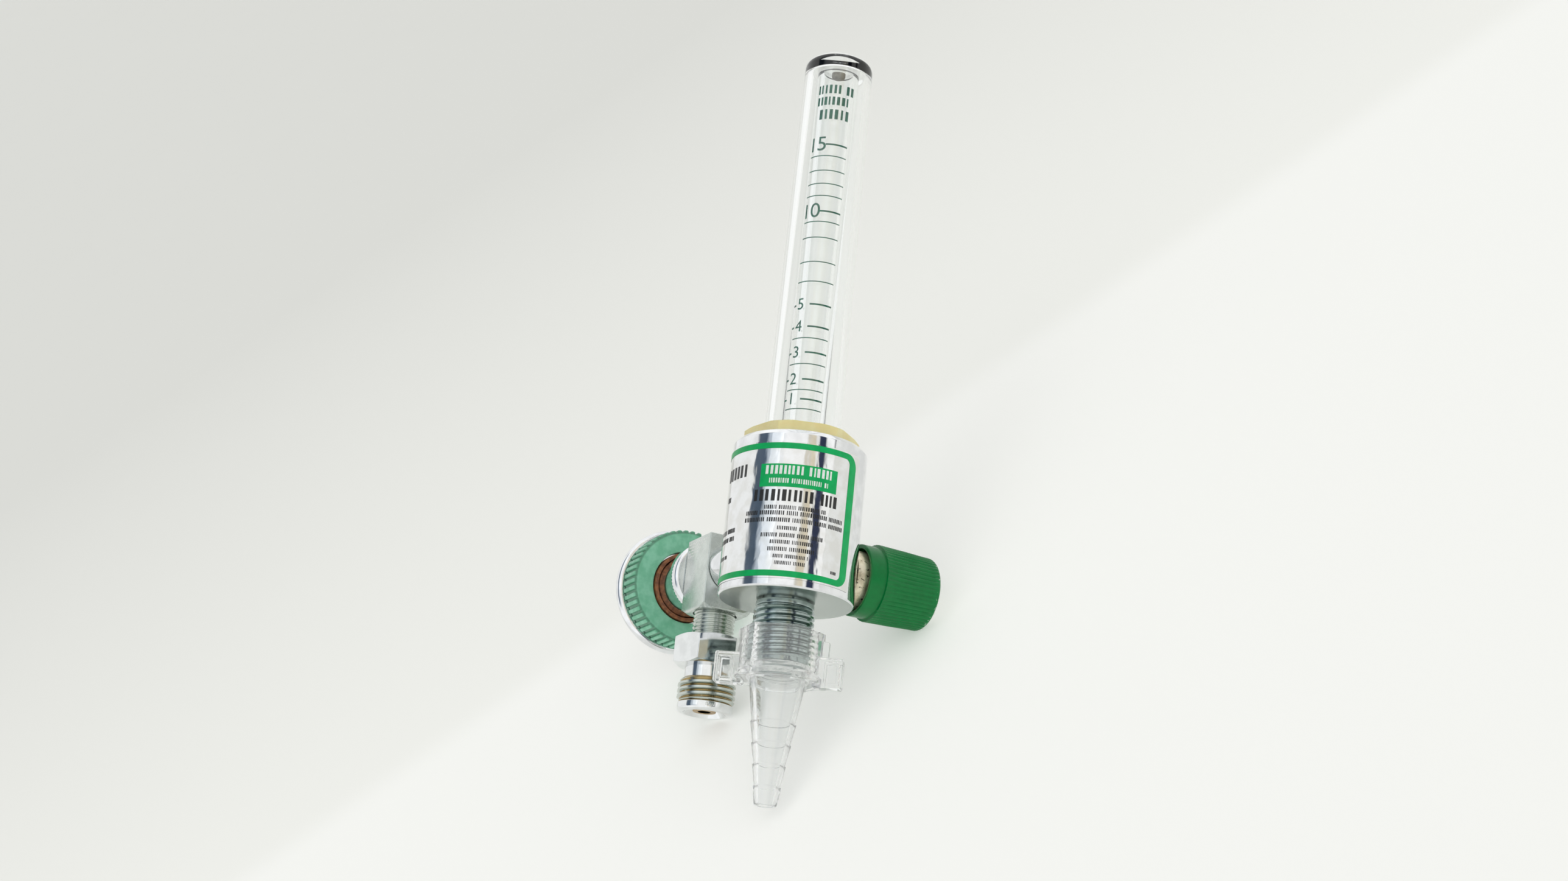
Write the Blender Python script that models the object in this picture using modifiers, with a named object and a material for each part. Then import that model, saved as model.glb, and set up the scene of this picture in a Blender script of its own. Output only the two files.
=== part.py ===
"""Wall-outlet oxygen flowmeter: tube, body, needle valve, tee block, inlet nut and two outlets.

The row frame has its origin on the inlet's axis, at the wall side of the inlet nut. +Y points to
the wall, +X to the knob and +Z up along the tube. Inside the script every piece is placed from the
body datum, an empty on the tube's axis at the body's bottom face.
"""

import math

import bmesh
import bpy
from mathutils import Matrix

MM = 0.001

# Clearances
SEAT_GAP = 0.3 * MM  # air between two pieces that seat on each other
FILM_GAP = 0.1 * MM  # air under the film label
MERGE = 0.00001

# Union thread: crest radius, pitch and depth
UNION_THREAD_RADIUS = 7.145 * MM  # 9/16-18, on both outlets
UNION_THREAD_PITCH = 1.411 * MM
UNION_THREAD_DEPTH = 0.75 * MM

# Body
BODY_RADIUS = 15.875 * MM
BODY_HEIGHT = 37.6 * MM
BODY_TOP_CHAMFER = 1.2 * MM
BODY_FOOT_CHAMFER = 0.4 * MM
INLET_HEIGHT = 14.5 * MM
VALVE_HEIGHT = 9.0 * MM
SPOT_FACE_DEPTH = 1.5 * MM
PASSAGE_RADIUS = 1.4 * MM
OUTLET_SOCKET_DEPTH = 5.7 * MM
TUBE_SOCKET_FLOOR = 17.2 * MM
TUBE_SOCKET_DEPTH = 4.8 * MM
GAS_CHAMBER_DEPTH = 4.2 * MM
GAS_CHAMBER_RADIUS = 8.4 * MM

# Film label
LABEL_THICKNESS = 0.15 * MM
LABEL_FOOT = 1.8 * MM
LABEL_HEIGHT = 32.4 * MM
BODY_STEPS = 36
LABEL_START = math.radians(130.0)  # from +X, in whole steps of the body
LABEL_END = math.radians(300.0)

# Shroud, its collar and its seal
SHROUD_RADIUS_FOOT = 9.22 * MM
SHROUD_RADIUS_TOP = 8.29 * MM
SHROUD_WALL = 1.6 * MM
SHROUD_TOP = 138.2 * MM
SHROUD_CROWN = 3.6 * MM  # thickness of the closed top
SHROUD_SHOULDER = 2.7 * MM
SHROUD_FLANGE_RADIUS = 11.6 * MM
SHROUD_FLANGE_THICKNESS = 3.0 * MM
COLLAR_CORNER_RADIUS = 13.8 * MM
COLLAR_HEX_HEIGHT = 2.7 * MM
COLLAR_SKIRT_RADIUS = 11.7 * MM
COLLAR_TURN = math.radians(40.25)
SHROUD_SEAL_SECTION = 1.4 * MM
SHROUD_SEAL_RADIUS = 10.1 * MM

# Flow tube, ball and stops
FLOW_TUBE_RADIUS = 5.1 * MM
FLOW_TUBE_TOP_AIR = 0.45 * MM
FLOW_BORE_FOOT = 2.5 * MM
FLOW_BORE_TOP = 3.4 * MM
TUBE_GASKET_THICKNESS = 0.7 * MM
TUBE_GASKET_BORE = 1.6 * MM
BALL_RADIUS = 2.2 * MM
BALL_REST_HEIGHT = 38.8 * MM
BALL_SEAT_BORE = 1.2 * MM
BALL_STOP_RADIUS = 1.6 * MM

# Needle valve, measured outwards from the tube's axis
SEAT_BORE_START = 3.6 * MM
SEAT_RING_LENGTH = 1.8 * MM
SEAT_RING_RADIUS = 2.3 * MM
SEAT_RING_BORE = 1.4 * MM
VALVE_CHAMBER_LENGTH = 3.0 * MM
VALVE_CHAMBER_RADIUS = 3.6 * MM
RETURN_HOLE_OFFSET = 7.2 * MM
RETURN_HOLE_RADIUS = 1.0 * MM
BONNET_THREAD_RADIUS = 5.3 * MM
BONNET_RADIUS = 6.9 * MM
BONNET_FLANGE_LENGTH = 4.8 * MM
BONNET_NECK_RADIUS = 5.4 * MM
BONNET_NECK_LENGTH = 4.7 * MM
STEM_RADIUS = 2.6 * MM
STEM_TAIL_RADIUS = 2.0 * MM
STEM_TAIL_LENGTH = 5.3 * MM
STEM_SCREW_HOLE_RADIUS = 1.5 * MM
STEM_SCREW_HOLE_DEPTH = 5.0 * MM
NEEDLE_TIP_RADIUS = 0.3 * MM
NEEDLE_TIP_START = 3.2 * MM
NEEDLE_LENGTH = 5.3 * MM
PACKING_SECTION = 0.9 * MM
PACKING_SETBACK = 4.4 * MM

# Knob
KNOB_STANDOFF = 1.4 * MM
KNOB_COLLAR_RADIUS = 8.64 * MM
KNOB_COLLAR_LENGTH = 4.1 * MM
KNOB_RIB_RADIUS = 9.32 * MM
KNOB_END_RADIUS = 8.85 * MM
KNOB_RIB_LENGTH = 14.6 * MM
KNOB_RIBS = 54
KNOB_RIB_DEPTH = 0.3 * MM
KNOB_END_ROUNDING = 1.5 * MM
KNOB_SKIRT_BORE = 7.6 * MM
KNOB_WEB_LENGTH = 1.2 * MM
KNOB_CAP_RADIUS = 6.5 * MM
KNOB_CAP_THICKNESS = 1.0 * MM
SCREW_HEAD_RADIUS = 2.8 * MM
SCREW_HEAD_HEIGHT = 1.8 * MM
SCREW_SHANK_RADIUS = 1.2 * MM
SCREW_SHANK_LENGTH = 4.6 * MM

# Connector and tee block, measured back from the body
CONNECTOR_SHOW = 16.9 * MM
CONNECTOR_RADIUS = 6.2 * MM
SPIGOT_RADIUS = 4.2 * MM
SPIGOT_LENGTH = 3.9 * MM
BLOCK_WIDTH = 13.1 * MM
BLOCK_DEPTH = 13.4 * MM
BLOCK_ABOVE = 8.0 * MM
BLOCK_BELOW = 10.7 * MM
BLOCK_EDGE = 0.25 * MM
BLOCK_CHAMFER_RADIUS = 7.5 * MM
BLOCK_CHAMFER_RISE = 1.1 * MM
TAKEOFF_SETBACK = 0.6 * MM

# Take-off fitting and its check valve
PIPE_RADIUS = 5.15 * MM  # 1/8 in pipe, over its fine thread
PIPE_TOP_RADIUS = 4.95 * MM
PIPE_SPIGOT_LENGTH = 4.9 * MM
PIPE_SHOW = 6.0 * MM
TAKEOFF_HEX_FLATS = 15.875 * MM
TAKEOFF_HEX_HEIGHT = 7.3 * MM
TAKEOFF_HEX_TURN = math.radians(17.0)
TAKEOFF_NECK_RADIUS = 5.9 * MM
TAKEOFF_NECK_LENGTH = 3.4 * MM
TAKEOFF_THREADS = 4
TAKEOFF_NOSE_LENGTH = 2.4 * MM
TAKEOFF_NOSE_RADIUS = 6.9 * MM
TAKEOFF_END_RADIUS = 5.65 * MM
TAKEOFF_MOUTH_RADIUS = 5.3 * MM
TAKEOFF_MOUTH_DEPTH = 3.4 * MM
TAKEOFF_SEAT_RADIUS = 2.9 * MM
TAKEOFF_HOLE_RADIUS = 1.7 * MM
TAKEOFF_WEB = 3.8 * MM
TAKEOFF_CHAMBER_RADIUS = 3.4 * MM
POPPET_RADIUS = 2.9 * MM
POPPET_HEAD = 1.9 * MM
POPPET_STEM_RADIUS = 1.1 * MM
POPPET_STEM_REACH = 3.2 * MM
POPPET_GUIDE_RADIUS = 1.2 * MM
POPPET_GUIDE_LENGTH = 4.0 * MM
POPPET_SEAL_THICKNESS = 0.9 * MM
SPRING_RADIUS = 2.3 * MM
SPRING_WIRE_RADIUS = 0.22 * MM
SPRING_LENGTH = 8.4 * MM
SPRING_TURNS = 5
SPRING_POINTS_PER_TURN = 8
RETAINER_HEIGHT = 2.0 * MM
RETAINER_BORE = 1.6 * MM

# Inlet hub, nipple and hand-tight nut
HUB_FLANGE_RADIUS = 8.5 * MM
HUB_FLANGE_THICKNESS = 4.0 * MM
HUB_ROUNDING = 1.4 * MM
HUB_BARREL_RADIUS = 6.5 * MM
HUB_BARREL_LENGTH = 10.5 * MM
NIPPLE_TAIL_RADIUS = 3.3 * MM
NIPPLE_TAIL_LENGTH = 4.9 * MM
NIPPLE_SHANK_RADIUS = 4.5 * MM
NIPPLE_SHOULDER_RADIUS = 6.2 * MM
NIPPLE_SHOULDER_THICKNESS = 1.7 * MM
NIPPLE_NOSE_RADIUS = 3.9 * MM
NIPPLE_NOSE_TIP_RADIUS = 3.4 * MM
NIPPLE_SETBACK = 0.6 * MM
NIPPLE_SEAL_SECTION = 1.2 * MM
FILTER_RADIUS = 2.2 * MM
FILTER_THICKNESS = 1.8 * MM
NUT_WEB = 1.9 * MM
NUT_THREAD_DEPTH = 6.2 * MM
NUT_HUB_RADIUS = 11.5 * MM
NUT_RIM_RADIUS = 16.16 * MM
NUT_RIM_THICKNESS = 2.6 * MM
NUT_BOSS_RADIUS = 11.0 * MM
NUT_BOSS_HEIGHT = 0.6 * MM
GRIP_RADIUS = 14.91 * MM
GRIP_LIP = 1.8 * MM
GRIP_RIBS = 50
GRIP_RIB_DEPTH = 0.8 * MM
GRIP_DISH = 0.45 * MM
WASHER_WIDTH = 2.2 * MM
WASHER_STAND = 0.2 * MM

# Outlet stem, wing nut and hose nipple, measured down from the body's bottom face
STEM_SPIGOT_RADIUS = 5.2 * MM
OUTLET_GASKET_THICKNESS = 1.0 * MM
OUTLET_NECK_RADIUS = 6.8 * MM
OUTLET_NECK_LENGTH = 1.1 * MM
OUTLET_RELIEF_RADIUS = 6.2 * MM
OUTLET_RELIEF_LENGTH = 0.8 * MM
OUTLET_THREADS = 8
OUTLET_NOSE_LENGTH = 1.2 * MM
OUTLET_BORE_RADIUS = 2.5 * MM
OUTLET_MOUTH_RADIUS = 5.2 * MM
OUTLET_MOUTH_DEPTH = 2.4 * MM
WING_NUT_FLATS = 17.8 * MM
WING_NUT_DROP = 6.95 * MM
WING_NUT_TURN = math.radians(-5.0)
WING_NUT_FLOOR = 1.75 * MM
WING_REACH = 15.3 * MM
WING_THICKNESS = 4.2 * MM
WING_HEIGHT = 7.2 * MM
WING_HANG = 0.9 * MM
WING_WALL = 1.1 * MM
WING_ROUNDING = 0.7 * MM
LUG_REACH = 11.4 * MM
LUG_HEIGHT = 5.0 * MM
LUG_THICKNESS = 2.0 * MM
NOZZLE_LIP_RADIUS = 7.1 * MM
NOZZLE_LIP_THICKNESS = 1.8 * MM
NOZZLE_NECK_RADIUS = 6.45 * MM
NOZZLE_WAIST_RADIUS = 3.72 * MM
NOZZLE_WAIST_DROP = 19.0 * MM
NOZZLE_TIP_RADIUS = 2.6 * MM
NOZZLE_LENGTH = 28.2 * MM
NOZZLE_RINGS = 4
NOZZLE_FIRST_RING = 9.2 * MM
NOZZLE_RING_SPACING = 4.9 * MM
NOZZLE_RING_STEP = 0.4 * MM
NOZZLE_TIP_CHAMFER = 0.3 * MM
NOZZLE_WALL = 1.2 * MM

# Facets round a full turn
FINE_STEPS = 36
MEDIUM_STEPS = 30
SMALL_STEPS = 20
TINY_STEPS = 12
ARC_STEPS = 3

# Stations along the inlet axis, from the body datum
BLOCK_FRONT = BODY_RADIUS + CONNECTOR_SHOW
BLOCK_BACK = BLOCK_FRONT + BLOCK_DEPTH
HUB_START = BLOCK_BACK + SEAT_GAP
HUB_FLANGE_END = HUB_START + HUB_FLANGE_THICKNESS
HUB_END = HUB_FLANGE_END + HUB_BARREL_LENGTH
NUT_WEB_START = HUB_END + SEAT_GAP
NUT_WEB_END = NUT_WEB_START + NUT_WEB
WALL_FACE = NUT_WEB_END + NUT_THREAD_DEPTH
NUT_RIM_END = WALL_FACE - NUT_BOSS_HEIGHT
NUT_RIM_START = NUT_RIM_END - NUT_RIM_THICKNESS
GRIP_START = NUT_WEB_START - GRIP_LIP
GRIP_END = NUT_RIM_START - SEAT_GAP
SPOT_FACE = BODY_RADIUS - SPOT_FACE_DEPTH
BODY_Y = -WALL_FACE

# Stations along the valve axis, from the tube's axis
SEAT_RING_START = SEAT_BORE_START + SEAT_GAP
SEAT_RING_END = SEAT_RING_START + SEAT_RING_LENGTH
VALVE_CHAMBER_START = SEAT_RING_END + SEAT_GAP
VALVE_CHAMBER_END = VALVE_CHAMBER_START + VALVE_CHAMBER_LENGTH
BONNET_START = VALVE_CHAMBER_END + SEAT_GAP
BONNET_SHOULDER = SPOT_FACE + SEAT_GAP
BONNET_NECK_START = BONNET_SHOULDER + BONNET_FLANGE_LENGTH
BONNET_END = BONNET_NECK_START + BONNET_NECK_LENGTH
STEM_SHOULDER = BONNET_END + 2 * SEAT_GAP
STEM_END = STEM_SHOULDER + STEM_TAIL_LENGTH
KNOB_HUB_START = STEM_SHOULDER + SEAT_GAP
KNOB_WEB_START = STEM_END + SEAT_GAP
KNOB_WEB_END = KNOB_WEB_START + KNOB_WEB_LENGTH
KNOB_RIM = BODY_RADIUS + KNOB_STANDOFF
KNOB_STEP = KNOB_RIM + KNOB_COLLAR_LENGTH
KNOB_END = KNOB_STEP + KNOB_RIB_LENGTH
KNOB_CAP_FLOOR = KNOB_END - KNOB_CAP_THICKNESS - SEAT_GAP

# Stations up the tube, from the body's bottom face
TUBE_SOCKET_TOP = TUBE_SOCKET_FLOOR + TUBE_SOCKET_DEPTH
SHROUD_LEDGE = TUBE_SOCKET_TOP + GAS_CHAMBER_DEPTH
SHROUD_FLANGE_START = SHROUD_LEDGE + 2 * SEAT_GAP + SHROUD_SEAL_SECTION
SHROUD_FLANGE_END = SHROUD_FLANGE_START + SHROUD_FLANGE_THICKNESS
SHROUD_CEILING = SHROUD_TOP - SHROUD_CROWN
COLLAR_HEX_START = BODY_HEIGHT + SEAT_GAP
COLLAR_HEX_END = COLLAR_HEX_START + COLLAR_HEX_HEIGHT
TUBE_GASKET_START = TUBE_SOCKET_FLOOR + SEAT_GAP
FLOW_TUBE_START = TUBE_GASKET_START + TUBE_GASKET_THICKNESS + SEAT_GAP
FLOW_TUBE_END = SHROUD_CEILING - FLOW_TUBE_TOP_AIR
BALL_SEAT_END = BALL_REST_HEIGHT - BALL_RADIUS - SEAT_GAP
COLLAR_BORE_RADIUS = COLLAR_SKIRT_RADIUS + SEAT_GAP

# Stations down the take-off, from the body's bottom face
BLOCK_FOOT = INLET_HEIGHT - BLOCK_BELOW
TAKEOFF_Y = BLOCK_FRONT + BLOCK_DEPTH / 2 + TAKEOFF_SETBACK
PIPE_TOP = BLOCK_FOOT + PIPE_SPIGOT_LENGTH
TAKEOFF_HEX_TOP = BLOCK_FOOT - PIPE_SHOW
TAKEOFF_HEX_FOOT = TAKEOFF_HEX_TOP - TAKEOFF_HEX_HEIGHT
TAKEOFF_THREAD_TOP = TAKEOFF_HEX_FOOT - TAKEOFF_NECK_LENGTH
TAKEOFF_THREAD_FOOT = TAKEOFF_THREAD_TOP - TAKEOFF_THREADS * UNION_THREAD_PITCH
TAKEOFF_END = TAKEOFF_THREAD_FOOT - TAKEOFF_NOSE_LENGTH
TAKEOFF_MOUTH_TOP = TAKEOFF_END + TAKEOFF_MOUTH_DEPTH
TAKEOFF_SEAT = TAKEOFF_MOUTH_TOP + TAKEOFF_WEB
POPPET_SEAL_FOOT = TAKEOFF_SEAT + SEAT_GAP
POPPET_FOOT = POPPET_SEAL_FOOT + POPPET_SEAL_THICKNESS + SEAT_GAP
POPPET_TOP = POPPET_FOOT + POPPET_HEAD
SPRING_FOOT = POPPET_TOP + SEAT_GAP
RETAINER_FOOT = SPRING_FOOT + SPRING_LENGTH + SEAT_GAP

# Stations down the outlet, from the body's bottom face
STEM_TOP = OUTLET_SOCKET_DEPTH - OUTLET_GASKET_THICKNESS - 2 * SEAT_GAP
OUTLET_NECK_FOOT = -SEAT_GAP - OUTLET_NECK_LENGTH
OUTLET_THREAD_TOP = OUTLET_NECK_FOOT - OUTLET_RELIEF_LENGTH
OUTLET_THREAD_FOOT = OUTLET_THREAD_TOP - OUTLET_THREADS * UNION_THREAD_PITCH
OUTLET_END = OUTLET_THREAD_FOOT - OUTLET_NOSE_LENGTH
NOZZLE_LIP_TOP = OUTLET_END - SEAT_GAP
NOZZLE_LIP_FOOT = NOZZLE_LIP_TOP - NOZZLE_LIP_THICKNESS
WING_NUT_TOP = -WING_NUT_DROP
WING_NUT_LEDGE = NOZZLE_LIP_FOOT - SEAT_GAP
WING_NUT_FOOT = WING_NUT_LEDGE - WING_NUT_FLOOR
NOZZLE_CONE_TOP = WING_NUT_FOOT - SEAT_GAP
NOZZLE_TIP = NOZZLE_CONE_TOP - NOZZLE_LENGTH
WING_NUT_CORNER = WING_NUT_FLATS / math.sqrt(3)


def clear_scene():
    """Remove every object that the file opened with."""
    for obj in list(bpy.data.objects):
        bpy.data.objects.remove(obj, do_unlink=True)


def new_collection(name):
    """Make a collection in the scene."""
    collection = bpy.data.collections.new(name)
    bpy.context.scene.collection.children.link(collection)
    return collection


def finish(name, colour, roughness, metallic=0.0, transmission=0.0):
    """Make a Principled material."""
    material = bpy.data.materials.new(name)
    material.use_nodes = True
    shader = material.node_tree.nodes["Principled BSDF"]
    shader.inputs["Base Color"].default_value = (*colour, 1.0)
    shader.inputs["Roughness"].default_value = roughness
    shader.inputs["Metallic"].default_value = metallic
    shader.inputs["Transmission Weight"].default_value = transmission
    return material


def chrome(name):
    """Bright chrome plate."""
    return finish(name, (0.80, 0.81, 0.82), 0.08, metallic=1.0)


def brass(name):
    """Turned brass."""
    return finish(name, (0.62, 0.47, 0.24), 0.3, metallic=1.0)


def clear_plastic(name):
    """Clear moulded plastic."""
    return finish(name, (0.94, 0.96, 0.96), 0.05, transmission=1.0)


def rubber(name):
    """Black seal rubber."""
    return finish(name, (0.03, 0.03, 0.03), 0.6)


class Workshop:
    """Places pieces and cutters in their collections, from the body datum."""

    TURNS = {
        "X": (0.0, math.pi / 2, 0.0),
        "Y": (-math.pi / 2, 0.0, 0.0),
        "Z": (0.0, 0.0, 0.0),
    }

    def __init__(self):
        self.pieces = new_collection("oxygen_flowmeter")
        self.cutters = new_collection("cutters")
        self.datum = bpy.data.objects.new("body_datum", None)
        self.datum.location = (0.0, BODY_Y, -INLET_HEIGHT)
        self.pieces.objects.link(self.datum)

    def place(self, name, mesh, axis="Z", origin=(0.0, 0.0, 0.0), material=None):
        """Put a mesh in the assembly, or among the cutters if it has no material."""
        obj = bpy.data.objects.new(name, mesh)
        obj.rotation_euler = self.TURNS[axis]
        obj.location = origin
        obj.parent = self.datum
        if material is None:
            self.cutters.objects.link(obj)
            obj.hide_render = True
            obj.display_type = "WIRE"
        else:
            self.pieces.objects.link(obj)
            mesh.materials.append(material)
        return obj

    def turned(self, name, profile, steps, **where):
        """Turn a profile of (radius, height) points. It runs down its outer side."""
        mesh = bpy.data.meshes.new(name)
        count = len(profile)
        edges = [(i, i + 1) for i in range(count - 1)]
        if profile[0][0] > 0 or profile[-1][0] > 0:
            edges.append((count - 1, 0))
        mesh.from_pydata([(radius, 0.0, height) for radius, height in profile], edges, [])
        obj = self.place(name, mesh, **where)
        screw = obj.modifiers.new("turn", "SCREW")
        screw.angle = 2 * math.pi
        screw.steps = steps
        screw.render_steps = steps
        screw.use_merge_vertices = True
        screw.merge_threshold = MERGE
        screw.use_smooth_shade = True
        return obj

    def cut(self, piece, cutter, operation="DIFFERENCE"):
        """Cut a piece with a cutter, or join the cutter's shape to it."""
        step = piece.modifiers.new(cutter.name, "BOOLEAN")
        step.operation = operation
        step.object = cutter
        step.solver = "EXACT"

    def hex_cut(self, piece, flats, foot, top, turn, **where):
        """Mill the disc between two heights of a turned piece to a hexagon, a corner at the turn."""
        bm = bmesh.new()
        corner = flats / math.sqrt(3)
        from_plus_y = Matrix.Rotation(turn - math.pi / 2, 4, "Z")
        bmesh.ops.create_circle(bm, segments=6, radius=corner, matrix=from_plus_y)
        ring = bmesh.ops.extrude_edge_only(bm, edges=bm.edges[:])
        outer = [item for item in ring["geom"] if isinstance(item, bmesh.types.BMVert)]
        bmesh.ops.scale(bm, vec=(2.0, 2.0, 1.0), verts=outer)
        solid = bmesh.ops.extrude_face_region(bm, geom=bm.faces[:])
        lifted = [item for item in solid["geom"] if isinstance(item, bmesh.types.BMVert)]
        bmesh.ops.translate(bm, vec=(0.0, 0.0, top - foot), verts=lifted)
        bmesh.ops.translate(bm, vec=(0.0, 0.0, foot), verts=bm.verts[:])
        bmesh.ops.recalc_face_normals(bm, faces=bm.faces[:])
        self.cut(piece, self.place(piece.name + "_flats", to_mesh(bm, piece.name + "_flats"), **where))


def to_mesh(bm, name):
    """Turn a bmesh into a mesh and free it."""
    mesh = bpy.data.meshes.new(name)
    bm.to_mesh(mesh)
    bm.free()
    return mesh


def smooth(obj, angle=math.radians(30)):
    """Shade a built mesh smooth, apart from its sharp edges."""
    obj.data.shade_smooth()
    obj.data.set_sharp_from_angle(angle=angle)


def arc(centre_r, centre_z, radius, start, end, steps=ARC_STEPS):
    """Points of an arc in a profile, from one angle in degrees to another."""
    points = []
    for i in range(steps + 1):
        angle = math.radians(start + (end - start) * i / steps)
        reach = round(centre_r + radius * math.cos(angle), 9)
        points.append((reach, centre_z + radius * math.sin(angle)))
    return points


def thread(crest, depth, pitch, top, turns):
    """The ridges of a thread in a profile, from the top down."""
    points = []
    for i in range(turns):
        points.append((crest - depth, top - i * pitch))
        points.append((crest, top - (i + 0.5) * pitch))
    points.append((crest - depth, top - turns * pitch))
    return points


def washer(outer, inner, foot, thickness):
    """Profile of a plain ring."""
    top = foot + thickness
    return [(inner, top), (outer, top), (outer, foot), (inner, foot)]


def seal_ring(radius, section, height, steps=8):
    """Profile of an O-ring, a circle that runs down its outer side."""
    points = arc(radius, height, section / 2, 90, -270, steps)
    return points[:-1]


def ribbed_mesh(name, stations, ribs):
    """Loft a solid with straight ribs through stations of (height, radius, rib depth)."""
    bm = bmesh.new()
    first_height, first_radius, _ = stations[0]
    bmesh.ops.create_circle(bm, cap_ends=True, segments=2 * ribs, radius=first_radius)
    for index, (height, radius, depth) in enumerate(stations):
        if index:
            lift = bmesh.ops.extrude_face_region(bm, geom=[cap, *cap.edges])
            cap = next(item for item in lift["geom"] if isinstance(item, bmesh.types.BMFace))
        else:
            cap = bm.faces[:][0]
        for vert in cap.verts:
            angle = math.atan2(vert.co.y, vert.co.x)
            rib = round(angle * ribs / math.pi) % 2
            reach = radius - depth * rib
            vert.co = (reach * math.cos(angle), reach * math.sin(angle), height)
    bmesh.ops.recalc_face_normals(bm, faces=bm.faces[:])
    return to_mesh(bm, name)


def box_mesh(name, width, depth, height, turn=0.0, offset=(0.0, 0.0, 0.0), edge=0.0):
    """A block, with its edges rounded if asked, moved and then turned about Z."""
    bm = bmesh.new()
    bmesh.ops.create_cube(bm, size=1.0)
    bmesh.ops.scale(bm, vec=(width, depth, height), verts=bm.verts[:])
    if edge:
        bmesh.ops.bevel(bm, geom=bm.edges[:], offset=edge, segments=2, profile=0.5,
                        affect="EDGES", material=-1)
    bmesh.ops.translate(bm, vec=offset, verts=bm.verts[:])
    bmesh.ops.rotate(bm, matrix=Matrix.Rotation(turn, 3, "Z"), verts=bm.verts[:])
    return to_mesh(bm, name)


def build_body(shop):
    """The turned body with its bores, and the film label wrapped on it."""
    steel = chrome("body")
    socket = STEM_SPIGOT_RADIUS + SEAT_GAP
    body = shop.turned("body", [
        (0.0, INLET_HEIGHT - PASSAGE_RADIUS / 2),
        (PASSAGE_RADIUS, INLET_HEIGHT - PASSAGE_RADIUS / 2),
        (PASSAGE_RADIUS, TUBE_SOCKET_FLOOR),
        (FLOW_TUBE_RADIUS + SEAT_GAP, TUBE_SOCKET_FLOOR),
        (FLOW_TUBE_RADIUS + SEAT_GAP, TUBE_SOCKET_TOP),
        (GAS_CHAMBER_RADIUS, TUBE_SOCKET_TOP),
        (GAS_CHAMBER_RADIUS, SHROUD_LEDGE),
        (COLLAR_BORE_RADIUS, SHROUD_LEDGE),
        (COLLAR_BORE_RADIUS, BODY_HEIGHT),
        (BODY_RADIUS - BODY_TOP_CHAMFER, BODY_HEIGHT),
        (BODY_RADIUS, BODY_HEIGHT - BODY_TOP_CHAMFER),
        (BODY_RADIUS, BODY_FOOT_CHAMFER),
        (BODY_RADIUS - BODY_FOOT_CHAMFER, 0.0),
        (socket, 0.0),
        (socket, OUTLET_SOCKET_DEPTH),
        (PASSAGE_RADIUS, OUTLET_SOCKET_DEPTH),
        (PASSAGE_RADIUS, VALVE_HEIGHT),
        (0.0, VALVE_HEIGHT),
    ], BODY_STEPS, material=steel)

    beyond = BODY_RADIUS + KNOB_STANDOFF
    seat_bore = SEAT_RING_RADIUS + SEAT_GAP
    bonnet_bore = BONNET_THREAD_RADIUS + SEAT_GAP
    valve_bore = shop.turned("valve_bore", [
        (0.0, beyond),
        (BONNET_RADIUS + SEAT_GAP, beyond),
        (BONNET_RADIUS + SEAT_GAP, SPOT_FACE),
        (bonnet_bore, SPOT_FACE),
        (bonnet_bore, VALVE_CHAMBER_END),
        (VALVE_CHAMBER_RADIUS, VALVE_CHAMBER_END),
        (VALVE_CHAMBER_RADIUS, VALVE_CHAMBER_START),
        (seat_bore, VALVE_CHAMBER_START),
        (seat_bore, SEAT_BORE_START),
        (PASSAGE_RADIUS * 0.8, SEAT_BORE_START),
        (PASSAGE_RADIUS * 0.8, -PASSAGE_RADIUS / 2),
        (0.0, -PASSAGE_RADIUS / 2),
    ], SMALL_STEPS, axis="X", origin=(0.0, 0.0, VALVE_HEIGHT))
    shop.cut(body, valve_bore)

    spigot_bore = SPIGOT_RADIUS + SEAT_GAP
    spigot_floor = SPOT_FACE - SPIGOT_LENGTH - SEAT_GAP
    inlet_bore = shop.turned("inlet_bore", [
        (0.0, beyond),
        (CONNECTOR_RADIUS + SEAT_GAP, beyond),
        (CONNECTOR_RADIUS + SEAT_GAP, SPOT_FACE),
        (spigot_bore, SPOT_FACE),
        (spigot_bore, spigot_floor),
        (PASSAGE_RADIUS * 0.9, spigot_floor),
        (PASSAGE_RADIUS * 0.9, -PASSAGE_RADIUS / 3),
        (0.0, -PASSAGE_RADIUS / 3),
    ], SMALL_STEPS, axis="Y", origin=(0.0, 0.0, INLET_HEIGHT))
    shop.cut(body, inlet_bore)

    return_hole = shop.turned("return_hole", [
        (0.0, TUBE_SOCKET_TOP + SEAT_GAP),
        (RETURN_HOLE_RADIUS, TUBE_SOCKET_TOP + SEAT_GAP),
        (RETURN_HOLE_RADIUS, VALVE_HEIGHT + VALVE_CHAMBER_RADIUS / 2),
        (0.0, VALVE_HEIGHT + VALVE_CHAMBER_RADIUS / 2),
    ], TINY_STEPS, origin=(RETURN_HOLE_OFFSET, 0.0, 0.0))
    shop.cut(body, return_hole)

    build_label(shop)


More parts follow.
